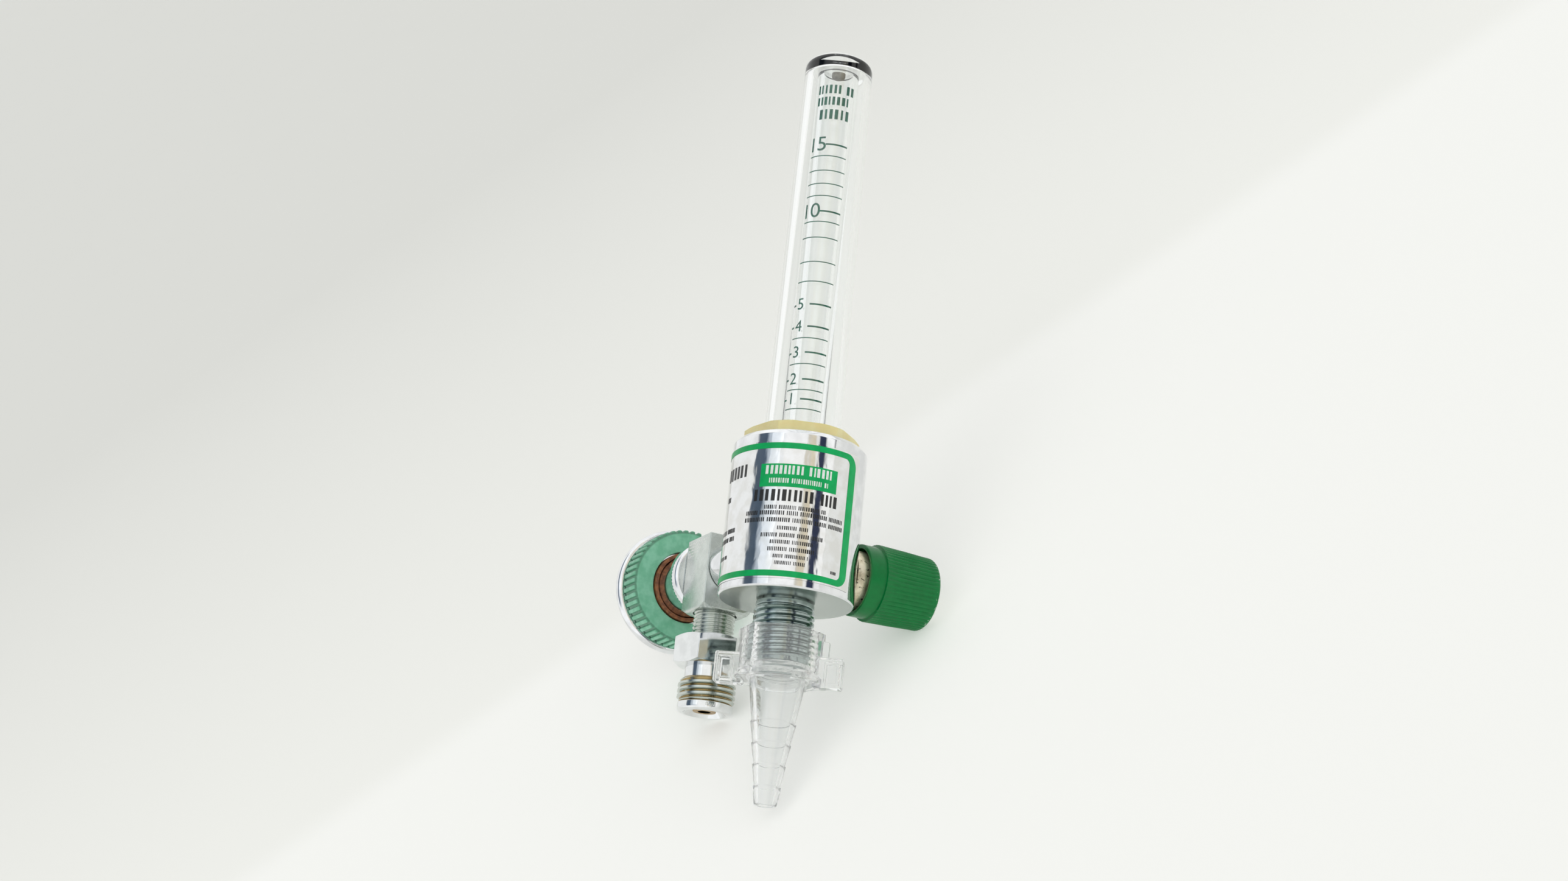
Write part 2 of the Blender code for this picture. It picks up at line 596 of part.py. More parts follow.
def build_label(shop):
    """The film label: an arc of sheet with a thickness, in step with the body's facets."""
    bm = bmesh.new()
    step = 2 * math.pi / BODY_STEPS
    start = LABEL_START
    radius = BODY_RADIUS + FILM_GAP
    foot = bm.verts.new((radius * math.cos(start), radius * math.sin(start), LABEL_FOOT))
    top = bm.verts.new((foot.co.x, foot.co.y, LABEL_FOOT + LABEL_HEIGHT))
    side = bm.edges.new((foot, top))
    turns = round((LABEL_END - LABEL_START) / step)
    bmesh.ops.spin(bm, geom=[foot, top, side], axis=(0.0, 0.0, 1.0), cent=(0.0, 0.0, 0.0),
                   steps=turns, angle=turns * step, use_merge=False, use_duplicate=False)
    bmesh.ops.recalc_face_normals(bm, faces=bm.faces[:])
    if bm.faces[:][0].normal.dot(bm.faces[:][0].calc_center_median().xy.to_3d()) < 0:
        bmesh.ops.reverse_faces(bm, faces=bm.faces[:])
    film = finish("label", (0.86, 0.87, 0.86), 0.25)
    label = shop.place("label", to_mesh(bm, "label"), material=film)
    sheet = label.modifiers.new("film", "SOLIDIFY")
    sheet.thickness = LABEL_THICKNESS
    sheet.offset = 1.0
    smooth(label)


def build_tube(shop):
    """The shroud, its collar and seal, and the flow tube with its ball and stops."""
    draft = (SHROUD_RADIUS_FOOT - SHROUD_RADIUS_TOP) / (SHROUD_TOP - SHROUD_FLANGE_END)
    top_radius = SHROUD_RADIUS_TOP
    inner_shoulder = SHROUD_WALL / 2
    inner_foot = SHROUD_RADIUS_FOOT - SHROUD_WALL
    inner_top = top_radius - SHROUD_WALL
    shoulder_radius = top_radius + draft * SHROUD_SHOULDER
    profile = [(0.0, SHROUD_TOP)]
    profile += arc(shoulder_radius - SHROUD_SHOULDER, SHROUD_TOP - SHROUD_SHOULDER,
                   SHROUD_SHOULDER, 90, 0)
    profile += [
        (SHROUD_RADIUS_FOOT, SHROUD_FLANGE_END),
        (SHROUD_FLANGE_RADIUS, SHROUD_FLANGE_END),
        (SHROUD_FLANGE_RADIUS, SHROUD_FLANGE_START),
        (inner_foot, SHROUD_FLANGE_START),
    ]
    profile += arc(inner_top - inner_shoulder, SHROUD_CEILING - inner_shoulder,
                   inner_shoulder, 0, 90, 2)
    profile += [(0.0, SHROUD_CEILING)]
    shop.turned("outer_tube", profile, MEDIUM_STEPS, material=clear_plastic("outer_tube"))

    ivory = finish("hex_collar", (0.83, 0.78, 0.58), 0.4)
    bore = SHROUD_RADIUS_FOOT + SEAT_GAP
    corner = COLLAR_CORNER_RADIUS
    collar = shop.turned("hex_collar", [
        (bore, COLLAR_HEX_END),
        (corner - COLLAR_HEX_HEIGHT / 2, COLLAR_HEX_END),
        (corner, COLLAR_HEX_END - COLLAR_HEX_HEIGHT / 4),
        (corner, COLLAR_HEX_START),
        (COLLAR_SKIRT_RADIUS, COLLAR_HEX_START),
        (COLLAR_SKIRT_RADIUS, SHROUD_FLANGE_END + SEAT_GAP),
        (bore, SHROUD_FLANGE_END + SEAT_GAP),
    ], MEDIUM_STEPS, material=ivory)
    shop.hex_cut(collar, corner * math.sqrt(3), COLLAR_HEX_START - SEAT_GAP / 2,
                 COLLAR_HEX_END + SEAT_GAP, COLLAR_TURN)

    shop.turned("shroud_seal", seal_ring(SHROUD_SEAL_RADIUS, SHROUD_SEAL_SECTION,
                                         SHROUD_LEDGE + SEAT_GAP + SHROUD_SEAL_SECTION / 2, 6),
                SMALL_STEPS, material=rubber("shroud_seal"))
    shop.turned("tube_gasket", washer(FLOW_TUBE_RADIUS, TUBE_GASKET_BORE, TUBE_GASKET_START,
                                      TUBE_GASKET_THICKNESS),
                TINY_STEPS, material=rubber("tube_gasket"))
    shop.turned("flow_tube", [
        (FLOW_BORE_TOP, FLOW_TUBE_END),
        (FLOW_TUBE_RADIUS, FLOW_TUBE_END),
        (FLOW_TUBE_RADIUS, FLOW_TUBE_START),
        (FLOW_BORE_FOOT, FLOW_TUBE_START),
        (FLOW_BORE_FOOT, BALL_SEAT_END),
    ], MEDIUM_STEPS, material=clear_plastic("flow_tube"))
    shop.turned("ball_seat", washer(FLOW_BORE_FOOT - SEAT_GAP, BALL_SEAT_BORE, FLOW_TUBE_START,
                                    BALL_SEAT_END - FLOW_TUBE_START),
                TINY_STEPS, material=finish("ball_seat", (0.86, 0.86, 0.82), 0.4))
    ball = bmesh.new()
    bmesh.ops.create_uvsphere(ball, u_segments=12, v_segments=8, radius=BALL_RADIUS)
    steel_ball = shop.place("float_ball", to_mesh(ball, "float_ball"),
                            origin=(0.0, 0.0, BALL_REST_HEIGHT),
                            material=finish("float_ball", (0.7, 0.7, 0.7), 0.15, metallic=1.0))
    smooth(steel_ball, math.pi)
    stop_top = SHROUD_CEILING - SEAT_GAP
    shop.turned("ball_stop", [(0.0, stop_top)] + arc(0.0, stop_top, BALL_STOP_RADIUS, 0, -90, 4),
                TINY_STEPS, material=finish("ball_stop", (0.35, 0.32, 0.27), 0.6))


def build_valve(shop):
    """The needle valve in the body's side, and its knob."""
    where = {"axis": "X", "origin": (0.0, 0.0, VALVE_HEIGHT)}
    stem_bore = STEM_RADIUS + SEAT_GAP
    shop.turned("valve_seat", washer(SEAT_RING_RADIUS, SEAT_RING_BORE, SEAT_RING_START,
                                     SEAT_RING_LENGTH),
                TINY_STEPS, material=brass("valve_seat"), **where)
    shop.turned("valve_bonnet", [
        (stem_bore, BONNET_END),
        (BONNET_NECK_RADIUS, BONNET_END),
        (BONNET_NECK_RADIUS, BONNET_NECK_START),
        (BONNET_RADIUS, BONNET_NECK_START - (BONNET_RADIUS - BONNET_NECK_RADIUS) / 3),
        (BONNET_RADIUS, BONNET_SHOULDER),
        (BONNET_THREAD_RADIUS, BONNET_SHOULDER),
        (BONNET_THREAD_RADIUS, BONNET_START),
        (stem_bore, BONNET_START),
    ], SMALL_STEPS, material=finish("valve_bonnet", (0.68, 0.65, 0.56), 0.45, metallic=0.8), **where)

    packing = BONNET_END - PACKING_SETBACK
    groove = STEM_RADIUS - PACKING_SECTION - SEAT_GAP
    half_groove = PACKING_SECTION / 2 + SEAT_GAP
    shop.turned("valve_stem", [
        (0.0, STEM_END - STEM_SCREW_HOLE_DEPTH),
        (STEM_SCREW_HOLE_RADIUS, STEM_END - STEM_SCREW_HOLE_DEPTH),
        (STEM_SCREW_HOLE_RADIUS, STEM_END),
        (STEM_TAIL_RADIUS, STEM_END),
        (STEM_TAIL_RADIUS, STEM_SHOULDER),
        (STEM_RADIUS, STEM_SHOULDER),
        (STEM_RADIUS, packing + half_groove),
        (groove, packing + half_groove),
        (groove, packing - half_groove),
        (STEM_RADIUS, packing - half_groove),
        (STEM_RADIUS, BONNET_START),
        (STEM_TAIL_RADIUS, NEEDLE_TIP_START + NEEDLE_LENGTH),
        (NEEDLE_TIP_RADIUS, NEEDLE_TIP_START),
        (0.0, NEEDLE_TIP_START),
    ], TINY_STEPS, material=brass("valve_stem"), **where)
    shop.turned("stem_packing", seal_ring(groove + SEAT_GAP + PACKING_SECTION / 2, PACKING_SECTION,
                                          packing, 6),
                TINY_STEPS, material=rubber("stem_packing"), **where)

    end_ring = KNOB_END - KNOB_END_ROUNDING
    rounding = arc(KNOB_END_RADIUS - KNOB_END_ROUNDING, end_ring, KNOB_END_ROUNDING, 0, 90, 2)
    stations = [
        (KNOB_RIM, KNOB_COLLAR_RADIUS, 0.0),
        (KNOB_STEP - KNOB_RIB_DEPTH / 2, KNOB_COLLAR_RADIUS, 0.0),
        (KNOB_STEP, KNOB_RIB_RADIUS, KNOB_RIB_DEPTH),
        (rounding[0][1], rounding[0][0], KNOB_RIB_DEPTH),
        (rounding[1][1], rounding[1][0], 0.0),
        (rounding[2][1], rounding[2][0], 0.0),
    ]
    green = finish("knob", (0.02, 0.22, 0.07), 0.25)
    knob = shop.place("knob", ribbed_mesh("knob", stations, KNOB_RIBS), material=green, **where)
    head_bore = SCREW_HEAD_RADIUS + SEAT_GAP
    tail_bore = STEM_TAIL_RADIUS + SEAT_GAP
    hollow = shop.turned("knob_hollow", [
        (0.0, KNOB_END + SEAT_GAP),
        (KNOB_CAP_RADIUS + SEAT_GAP, KNOB_END + SEAT_GAP),
        (KNOB_CAP_RADIUS + SEAT_GAP, KNOB_CAP_FLOOR),
        (head_bore, KNOB_CAP_FLOOR),
        (head_bore, KNOB_WEB_END),
        (STEM_SCREW_HOLE_RADIUS, KNOB_WEB_END),
        (STEM_SCREW_HOLE_RADIUS, KNOB_WEB_START),
        (tail_bore, KNOB_WEB_START),
        (tail_bore, KNOB_HUB_START),
        (KNOB_SKIRT_BORE, KNOB_HUB_START),
        (KNOB_SKIRT_BORE, KNOB_RIM - SEAT_GAP),
        (0.0, KNOB_RIM - SEAT_GAP),
    ], SMALL_STEPS, **where)
    shop.cut(knob, hollow)
    smooth(knob)

    shop.turned("knob_cap", [
        (0.0, KNOB_END),
        (KNOB_CAP_RADIUS, KNOB_END),
        (KNOB_CAP_RADIUS, KNOB_END - KNOB_CAP_THICKNESS),
        (0.0, KNOB_END - KNOB_CAP_THICKNESS),
    ], SMALL_STEPS, material=finish("knob_cap", (0.85, 0.86, 0.84), 0.35), **where)
    head = KNOB_WEB_END + SEAT_GAP
    shop.turned("knob_screw", [
        (0.0, head + SCREW_HEAD_HEIGHT),
        (SCREW_HEAD_RADIUS, head + SCREW_HEAD_HEIGHT),
        (SCREW_HEAD_RADIUS, head),
        (SCREW_SHANK_RADIUS, head),
        (SCREW_SHANK_RADIUS, head - KNOB_WEB_LENGTH - SCREW_SHANK_LENGTH),
        (0.0, head - KNOB_WEB_LENGTH - SCREW_SHANK_LENGTH),
    ], TINY_STEPS, material=finish("knob_screw", (0.6, 0.6, 0.6), 0.3, metallic=1.0), **where)


def build_block(shop):
    """The connector and the square tee block behind the body."""
    where = {"axis": "Y", "origin": (0.0, 0.0, INLET_HEIGHT)}
    front = SPOT_FACE + SEAT_GAP
    back = BLOCK_FRONT - SEAT_GAP
    shop.turned("body_connector", [
        (PASSAGE_RADIUS, back + SPIGOT_LENGTH),
        (SPIGOT_RADIUS, back + SPIGOT_LENGTH),
        (SPIGOT_RADIUS, back),
        (CONNECTOR_RADIUS, back),
        (CONNECTOR_RADIUS, front),
        (SPIGOT_RADIUS, front),
        (SPIGOT_RADIUS, front - SPIGOT_LENGTH),
        (PASSAGE_RADIUS, front - SPIGOT_LENGTH),
    ], SMALL_STEPS, material=chrome("body_connector"), **where)

    height = BLOCK_ABOVE + BLOCK_BELOW
    middle = BLOCK_FOOT + height / 2
    centre_y = (BLOCK_FRONT + BLOCK_BACK) / 2
    block = shop.place("tee_block",
                       box_mesh("tee_block", BLOCK_WIDTH, BLOCK_DEPTH, height, edge=BLOCK_EDGE),
                       origin=(0.0, centre_y, middle), material=chrome("tee_block"))
    smooth(block, math.radians(50))
    spigot_bore = SPIGOT_RADIUS + SEAT_GAP
    depth = SPIGOT_LENGTH + SEAT_GAP
    run = shop.turned("block_run", [
        (0.0, BLOCK_BACK + SEAT_GAP),
        (spigot_bore, BLOCK_BACK + SEAT_GAP),
        (spigot_bore, BLOCK_BACK - depth),
        (PASSAGE_RADIUS, BLOCK_BACK - depth),
        (PASSAGE_RADIUS, BLOCK_FRONT + depth),
        (spigot_bore, BLOCK_FRONT + depth),
        (spigot_bore, BLOCK_FRONT - SEAT_GAP),
        (0.0, BLOCK_FRONT - SEAT_GAP),
    ], SMALL_STEPS, **where)
    shop.cut(block, run)
    pipe_bore = PIPE_RADIUS + SEAT_GAP
    branch = shop.turned("block_branch", [
        (0.0, INLET_HEIGHT),
        (PASSAGE_RADIUS * 0.9, INLET_HEIGHT),
        (PASSAGE_RADIUS * 0.9, PIPE_TOP + SEAT_GAP),
        (pipe_bore, PIPE_TOP + SEAT_GAP),
        (pipe_bore, BLOCK_FOOT - SEAT_GAP),
        (0.0, BLOCK_FOOT - SEAT_GAP),
    ], SMALL_STEPS, origin=(0.0, TAKEOFF_Y, 0.0))
    shop.cut(block, branch)
    reach = BLOCK_WIDTH + BLOCK_DEPTH
    slope = BLOCK_CHAMFER_RISE / (math.hypot(BLOCK_WIDTH, BLOCK_DEPTH) / 2 - BLOCK_CHAMFER_RADIUS)
    outward = slope * (reach - BLOCK_CHAMFER_RADIUS)
    chamfer = shop.turned("block_chamfer", [
        (reach, BLOCK_FOOT + outward),
        (reach, BLOCK_FOOT - SEAT_GAP),
        (BLOCK_CHAMFER_RADIUS - SEAT_GAP / slope, BLOCK_FOOT - SEAT_GAP),
    ], MEDIUM_STEPS, origin=(0.0, centre_y, 0.0))
    shop.cut(block, chamfer)


def build_takeoff(shop):
    """The take-off fitting under the block, and the check valve in it."""
    where = {"origin": (0.0, TAKEOFF_Y, 0.0)}
    corner = TAKEOFF_HEX_FLATS / math.sqrt(3)
    bevel = (corner - TAKEOFF_HEX_FLATS / 2) * 0.9
    drop = bevel * 0.6
    profile = [
        (TAKEOFF_CHAMBER_RADIUS, PIPE_TOP),
        (PIPE_TOP_RADIUS, PIPE_TOP),
        (PIPE_RADIUS, BLOCK_FOOT),
        (PIPE_RADIUS, TAKEOFF_HEX_TOP),
        (corner - bevel, TAKEOFF_HEX_TOP),
        (corner, TAKEOFF_HEX_TOP - drop),
        (corner, TAKEOFF_HEX_FOOT + drop),
        (corner - bevel, TAKEOFF_HEX_FOOT),
        (TAKEOFF_NECK_RADIUS, TAKEOFF_HEX_FOOT),
        (TAKEOFF_NECK_RADIUS, TAKEOFF_THREAD_TOP + SEAT_GAP),
    ]
    root = UNION_THREAD_RADIUS - UNION_THREAD_DEPTH
    profile += [
        (root, TAKEOFF_THREAD_TOP),
        (UNION_THREAD_RADIUS, TAKEOFF_THREAD_TOP - UNION_THREAD_DEPTH),
        (UNION_THREAD_RADIUS, TAKEOFF_THREAD_FOOT + UNION_THREAD_DEPTH),
        (root, TAKEOFF_THREAD_FOOT),
    ]
    rounding = TAKEOFF_NOSE_RADIUS - TAKEOFF_END_RADIUS
    profile += [(TAKEOFF_NOSE_RADIUS, TAKEOFF_THREAD_FOOT - SEAT_GAP)]
    profile += arc(TAKEOFF_END_RADIUS, TAKEOFF_END + rounding, rounding, 0, -90)
    profile += [
        (TAKEOFF_MOUTH_RADIUS, TAKEOFF_END),
        (TAKEOFF_SEAT_RADIUS, TAKEOFF_MOUTH_TOP),
        (TAKEOFF_HOLE_RADIUS, TAKEOFF_MOUTH_TOP),
        (TAKEOFF_HOLE_RADIUS, TAKEOFF_SEAT),
        (TAKEOFF_CHAMBER_RADIUS, TAKEOFF_SEAT),
    ]
    fitting = shop.turned("takeoff_fitting", profile, SMALL_STEPS,
                          material=chrome("takeoff_fitting"), **where)
    shop.hex_cut(fitting, TAKEOFF_HEX_FLATS, TAKEOFF_HEX_FOOT - SEAT_GAP,
                 TAKEOFF_HEX_TOP + SEAT_GAP, TAKEOFF_HEX_TURN - math.pi / 2, **where)

    shop.turned("poppet_seal", washer(POPPET_RADIUS, POPPET_STEM_RADIUS + SEAT_GAP,
                                      POPPET_SEAL_FOOT, POPPET_SEAL_THICKNESS),
                TINY_STEPS, material=rubber("poppet_seal"), **where)
    shop.turned("takeoff_poppet", [
        (0.0, POPPET_TOP + POPPET_GUIDE_LENGTH),
        (POPPET_GUIDE_RADIUS, POPPET_TOP + POPPET_GUIDE_LENGTH),
        (POPPET_GUIDE_RADIUS, POPPET_TOP),
        (POPPET_RADIUS, POPPET_TOP),
        (POPPET_RADIUS, POPPET_FOOT),
        (POPPET_STEM_RADIUS, POPPET_FOOT),
        (POPPET_STEM_RADIUS, TAKEOFF_SEAT - POPPET_STEM_REACH),
        (0.0, TAKEOFF_SEAT - POPPET_STEM_REACH),
    ], TINY_STEPS, material=brass("takeoff_poppet"), **where)
    shop.turned("spring_retainer", washer(TAKEOFF_CHAMBER_RADIUS - SEAT_GAP, RETAINER_BORE,
                                          RETAINER_FOOT, RETAINER_HEIGHT),
                TINY_STEPS, material=brass("spring_retainer"), **where)
    build_spring(shop)


def build_spring(shop):
    """The coil spring over the poppet."""
    wire = bpy.data.curves.new("takeoff_spring", "CURVE")
    wire.dimensions = "3D"
    wire.bevel_depth = SPRING_WIRE_RADIUS
    wire.bevel_resolution = 2
    wire.use_fill_caps = True
    path = wire.splines.new("POLY")
    count = SPRING_TURNS * SPRING_POINTS_PER_TURN
    path.points.add(count)
    rise = SPRING_LENGTH - 2 * SPRING_WIRE_RADIUS
    for i in range(count + 1):
        angle = 2 * math.pi * i / SPRING_POINTS_PER_TURN
        height = SPRING_FOOT + SPRING_WIRE_RADIUS + rise * i / count
        path.points[i].co = (SPRING_RADIUS * math.cos(angle), SPRING_RADIUS * math.sin(angle),
                             height, 1.0)
    shop.place("takeoff_spring", wire, origin=(0.0, TAKEOFF_Y, 0.0),
               material=finish("takeoff_spring", (0.55, 0.55, 0.55), 0.3, metallic=1.0))


def build_inlet(shop):
    """The hub on the block, the nipple, and the hand-tight nut with its grip."""
    where = {"axis": "Y", "origin": (0.0, 0.0, INLET_HEIGHT)}
    socket = NIPPLE_TAIL_RADIUS + SEAT_GAP
    socket_floor = HUB_END - NIPPLE_TAIL_LENGTH - SEAT_GAP
    edge = HUB_FLANGE_RADIUS - HUB_ROUNDING
    profile = [
        (PASSAGE_RADIUS, socket_floor),
        (socket, socket_floor),
        (socket, HUB_END),
        (HUB_BARREL_RADIUS, HUB_END),
        (HUB_BARREL_RADIUS, HUB_FLANGE_END),
    ]
    profile += arc(edge, HUB_FLANGE_END - HUB_ROUNDING, HUB_ROUNDING, 90, 0, 2)
    profile += arc(edge, HUB_START + HUB_ROUNDING, HUB_ROUNDING, 0, -90, 2)
    profile += [
        (SPIGOT_RADIUS, HUB_START),
        (SPIGOT_RADIUS, HUB_START - SPIGOT_LENGTH),
        (PASSAGE_RADIUS, HUB_START - SPIGOT_LENGTH),
    ]
    shop.turned("inlet_hub", profile, SMALL_STEPS, material=chrome("inlet_hub"), **where)

    washer_bore = HUB_BARREL_RADIUS + SEAT_GAP
    washer_radius = washer_bore + WASHER_WIDTH
    washer_foot = GRIP_START - WASHER_STAND
    shop.turned("friction_washer", washer(washer_radius, washer_bore, washer_foot,
                                          NUT_WEB_START - SEAT_GAP - washer_foot),
                MEDIUM_STEPS, material=finish("friction_washer", (0.30, 0.11, 0.03), 0.55), **where)

    shank_bore = NIPPLE_SHANK_RADIUS + SEAT_GAP
    thread_bore = UNION_THREAD_RADIUS + SEAT_GAP / 2
    rim = NUT_RIM_THICKNESS / 2
    profile = [
        (thread_bore, WALL_FACE - NUT_BOSS_HEIGHT),
        (thread_bore + NUT_BOSS_HEIGHT, WALL_FACE),
        (NUT_BOSS_RADIUS, WALL_FACE),
        (NUT_BOSS_RADIUS + NUT_BOSS_HEIGHT, NUT_RIM_END),
    ]
    profile += arc(NUT_RIM_RADIUS - rim, NUT_RIM_END - rim, rim, 90, -90, 4)
    profile += [
        (NUT_HUB_RADIUS, NUT_RIM_START),
        (NUT_HUB_RADIUS, NUT_WEB_START),
        (shank_bore, NUT_WEB_START),
        (shank_bore, NUT_WEB_END),
        (thread_bore, NUT_WEB_END),
    ]
    shop.turned("inlet_nut", profile, FINE_STEPS, material=chrome("inlet_nut"), **where)

    run_in = GRIP_RIB_DEPTH / 2
    stations = [
        (GRIP_START, GRIP_RADIUS - run_in, GRIP_RIB_DEPTH - run_in / 2),
        (GRIP_START + run_in, GRIP_RADIUS, GRIP_RIB_DEPTH),
        (GRIP_END, GRIP_RADIUS, GRIP_RIB_DEPTH),
    ]
    mint = finish("grip_ring", (0.09, 0.42, 0.25), 0.5)
    grip = shop.place("grip_ring", ribbed_mesh("grip_ring", stations, GRIP_RIBS), material=mint,
                      **where)
    inner = NUT_HUB_RADIUS + SEAT_GAP
    lip_bore = washer_radius + SEAT_GAP
    dish = GRIP_RADIUS - 2 * GRIP_RIB_DEPTH
    hollow = shop.turned("grip_hollow", [
        (0.0, GRIP_END + SEAT_GAP),
        (inner, GRIP_END + SEAT_GAP),
        (inner, NUT_WEB_START - SEAT_GAP),
        (lip_bore, NUT_WEB_START - SEAT_GAP),
        (lip_bore, GRIP_START + GRIP_DISH),
        (dish, GRIP_START),
        (dish, GRIP_START - SEAT_GAP),
        (0.0, GRIP_START - SEAT_GAP),
    ], FINE_STEPS, **where)
    shop.cut(grip, hollow)
    smooth(grip)

    shoulder = NUT_WEB_END + SEAT_GAP
    shoulder_end = shoulder + NIPPLE_SHOULDER_THICKNESS
    nose_end = WALL_FACE - NIPPLE_SETBACK
    seal_centre = shoulder_end + NIPPLE_SEAL_SECTION / 2 + SEAT_GAP
    groove = NIPPLE_NOSE_RADIUS - NIPPLE_SEAL_SECTION + SEAT_GAP
    groove_end = seal_centre + NIPPLE_SEAL_SECTION / 2 + SEAT_GAP
    filter_bore = FILTER_RADIUS + SEAT_GAP
    filter_floor = nose_end - FILTER_THICKNESS - 2 * SEAT_GAP
    shop.turned("inlet_nipple", [
        (PASSAGE_RADIUS, filter_floor),
        (filter_bore, filter_floor),
        (filter_bore, nose_end),
        (NIPPLE_NOSE_TIP_RADIUS, nose_end),
        (NIPPLE_NOSE_RADIUS, groove_end),
        (groove, groove_end),
        (groove, shoulder_end),
        (NIPPLE_SHOULDER_RADIUS, shoulder_end),
        (NIPPLE_SHOULDER_RADIUS, shoulder),
        (NIPPLE_SHANK_RADIUS, shoulder),
        (NIPPLE_SHANK_RADIUS, NUT_WEB_START),
        (NIPPLE_TAIL_RADIUS, NUT_WEB_START),
        (NIPPLE_TAIL_RADIUS, HUB_END - NIPPLE_TAIL_LENGTH),
        (PASSAGE_RADIUS, HUB_END - NIPPLE_TAIL_LENGTH),
    ], TINY_STEPS, material=brass("inlet_nipple"), **where)
    shop.turned("nipple_seal", seal_ring(groove + SEAT_GAP + NIPPLE_SEAL_SECTION / 2,
                                         NIPPLE_SEAL_SECTION, seal_centre, 6),
                TINY_STEPS, material=rubber("nipple_seal"), **where)
    filter_foot = filter_floor + SEAT_GAP
    shop.turned("inlet_filter", [
        (0.0, filter_foot + FILTER_THICKNESS),
        (FILTER_RADIUS, filter_foot + FILTER_THICKNESS),
        (FILTER_RADIUS, filter_foot),
        (0.0, filter_foot),
    ], TINY_STEPS, material=finish("inlet_filter", (0.45, 0.33, 0.2), 0.8, metallic=0.6), **where)


def build_outlet(shop):
    """The outlet stem under the body, the wing nut and the hose nipple."""
    neck_top = -SEAT_GAP
    profile = [
        (OUTLET_BORE_RADIUS, STEM_TOP),
        (STEM_SPIGOT_RADIUS, STEM_TOP),
        (STEM_SPIGOT_RADIUS, neck_top),
        (OUTLET_NECK_RADIUS, neck_top),
        (OUTLET_NECK_RADIUS, OUTLET_NECK_FOOT),
        (OUTLET_RELIEF_RADIUS, OUTLET_NECK_FOOT),
    ]
    profile += thread(UNION_THREAD_RADIUS, UNION_THREAD_DEPTH, UNION_THREAD_PITCH,
                      OUTLET_THREAD_TOP, OUTLET_THREADS)
    profile += [
        (OUTLET_RELIEF_RADIUS, OUTLET_END),
        (OUTLET_MOUTH_RADIUS, OUTLET_END),
        (OUTLET_BORE_RADIUS, OUTLET_END + OUTLET_MOUTH_DEPTH),
    ]
    shop.turned("outlet_stem", profile, SMALL_STEPS, material=chrome("outlet_stem"))
    shop.turned("outlet_gasket", washer(STEM_SPIGOT_RADIUS, OUTLET_BORE_RADIUS,
                                        STEM_TOP + SEAT_GAP, OUTLET_GASKET_THICKNESS),
                TINY_STEPS, material=finish("outlet_gasket", (0.75, 0.74, 0.7), 0.6))
    build_wing_nut(shop)
    build_hose_nipple(shop)


def build_wing_nut(shop):
    """The clear wing nut: a hexagon with two pocketed wings and a lug, bored for the thread."""
    height = WING_NUT_TOP - WING_NUT_FOOT
    bm = bmesh.new()
    bmesh.ops.create_cone(bm, cap_ends=True, segments=6, radius1=WING_NUT_CORNER,
                          radius2=WING_NUT_CORNER, depth=height)
    corners = [edge for edge in bm.edges if abs(edge.verts[0].co.z - edge.verts[1].co.z) > height / 2]
    bmesh.ops.bevel(bm, geom=corners, offset=WING_ROUNDING, segments=2, profile=0.5,
                    affect="EDGES", material=-1)
    turn = Matrix.Rotation(WING_NUT_TURN, 4, "Z")
    lift = Matrix.Translation((0.0, 0.0, (WING_NUT_TOP + WING_NUT_FOOT) / 2))
    bmesh.ops.transform(bm, matrix=lift @ turn, verts=bm.verts[:])
    nut = shop.place("wing_nut", to_mesh(bm, "wing_nut"), material=clear_plastic("wing_nut"))

    thread_bore = UNION_THREAD_RADIUS + SEAT_GAP
    wing_angle = WING_NUT_TURN - math.pi / 6
    wing_foot = WING_NUT_FOOT - WING_HANG
    wing_middle = wing_foot + WING_HEIGHT / 2
    inner = (thread_bore + WING_NUT_FLATS / 2) / 2
    for side, turn in enumerate((wing_angle, wing_angle + math.pi)):
        wing = shop.place(f"wing_{side}", box_mesh(
            f"wing_{side}", WING_REACH - inner, WING_THICKNESS, WING_HEIGHT, turn,
            ((WING_REACH + inner) / 2, 0.0, wing_middle), WING_ROUNDING))
        shop.cut(nut, wing, "UNION")
    for side, turn in enumerate((wing_angle, wing_angle + math.pi)):
        start = WING_NUT_CORNER + WING_WALL / 2
        for face in (-1, 1):
            pocket = shop.place(f"wing_pocket_{side}_{face + 1}", box_mesh(
                f"wing_pocket_{side}", WING_REACH - WING_WALL - start, WING_THICKNESS,
                WING_HEIGHT - 2 * WING_WALL, turn,
                ((WING_REACH - WING_WALL + start) / 2, face * (WING_THICKNESS + WING_WALL) / 2,
                 wing_middle)))
            shop.cut(nut, pocket)
    lug_middle = wing_foot + WING_HEIGHT + LUG_HEIGHT / 2 - WING_ROUNDING
    lug = shop.place("wing_lug", box_mesh("wing_lug", LUG_REACH - inner, LUG_THICKNESS, LUG_HEIGHT,
                                          wing_angle, ((LUG_REACH + inner) / 2, 0.0, lug_middle)))
    shop.cut(nut, lug, "UNION")

    neck_bore = NOZZLE_NECK_RADIUS + SEAT_GAP
    chamfer = UNION_THREAD_DEPTH / 2
    bore = shop.turned("wing_nut_bore", [
        (0.0, WING_NUT_TOP + SEAT_GAP),
        (thread_bore + chamfer, WING_NUT_TOP + SEAT_GAP),
        (thread_bore + chamfer, WING_NUT_TOP),
        (thread_bore, WING_NUT_TOP - chamfer),
        (thread_bore, WING_NUT_LEDGE),
        (neck_bore, WING_NUT_LEDGE),
        (neck_bore, wing_foot - SEAT_GAP),
        (0.0, wing_foot - SEAT_GAP),
    ], MEDIUM_STEPS)
    shop.cut(nut, bore)
    smooth(nut)


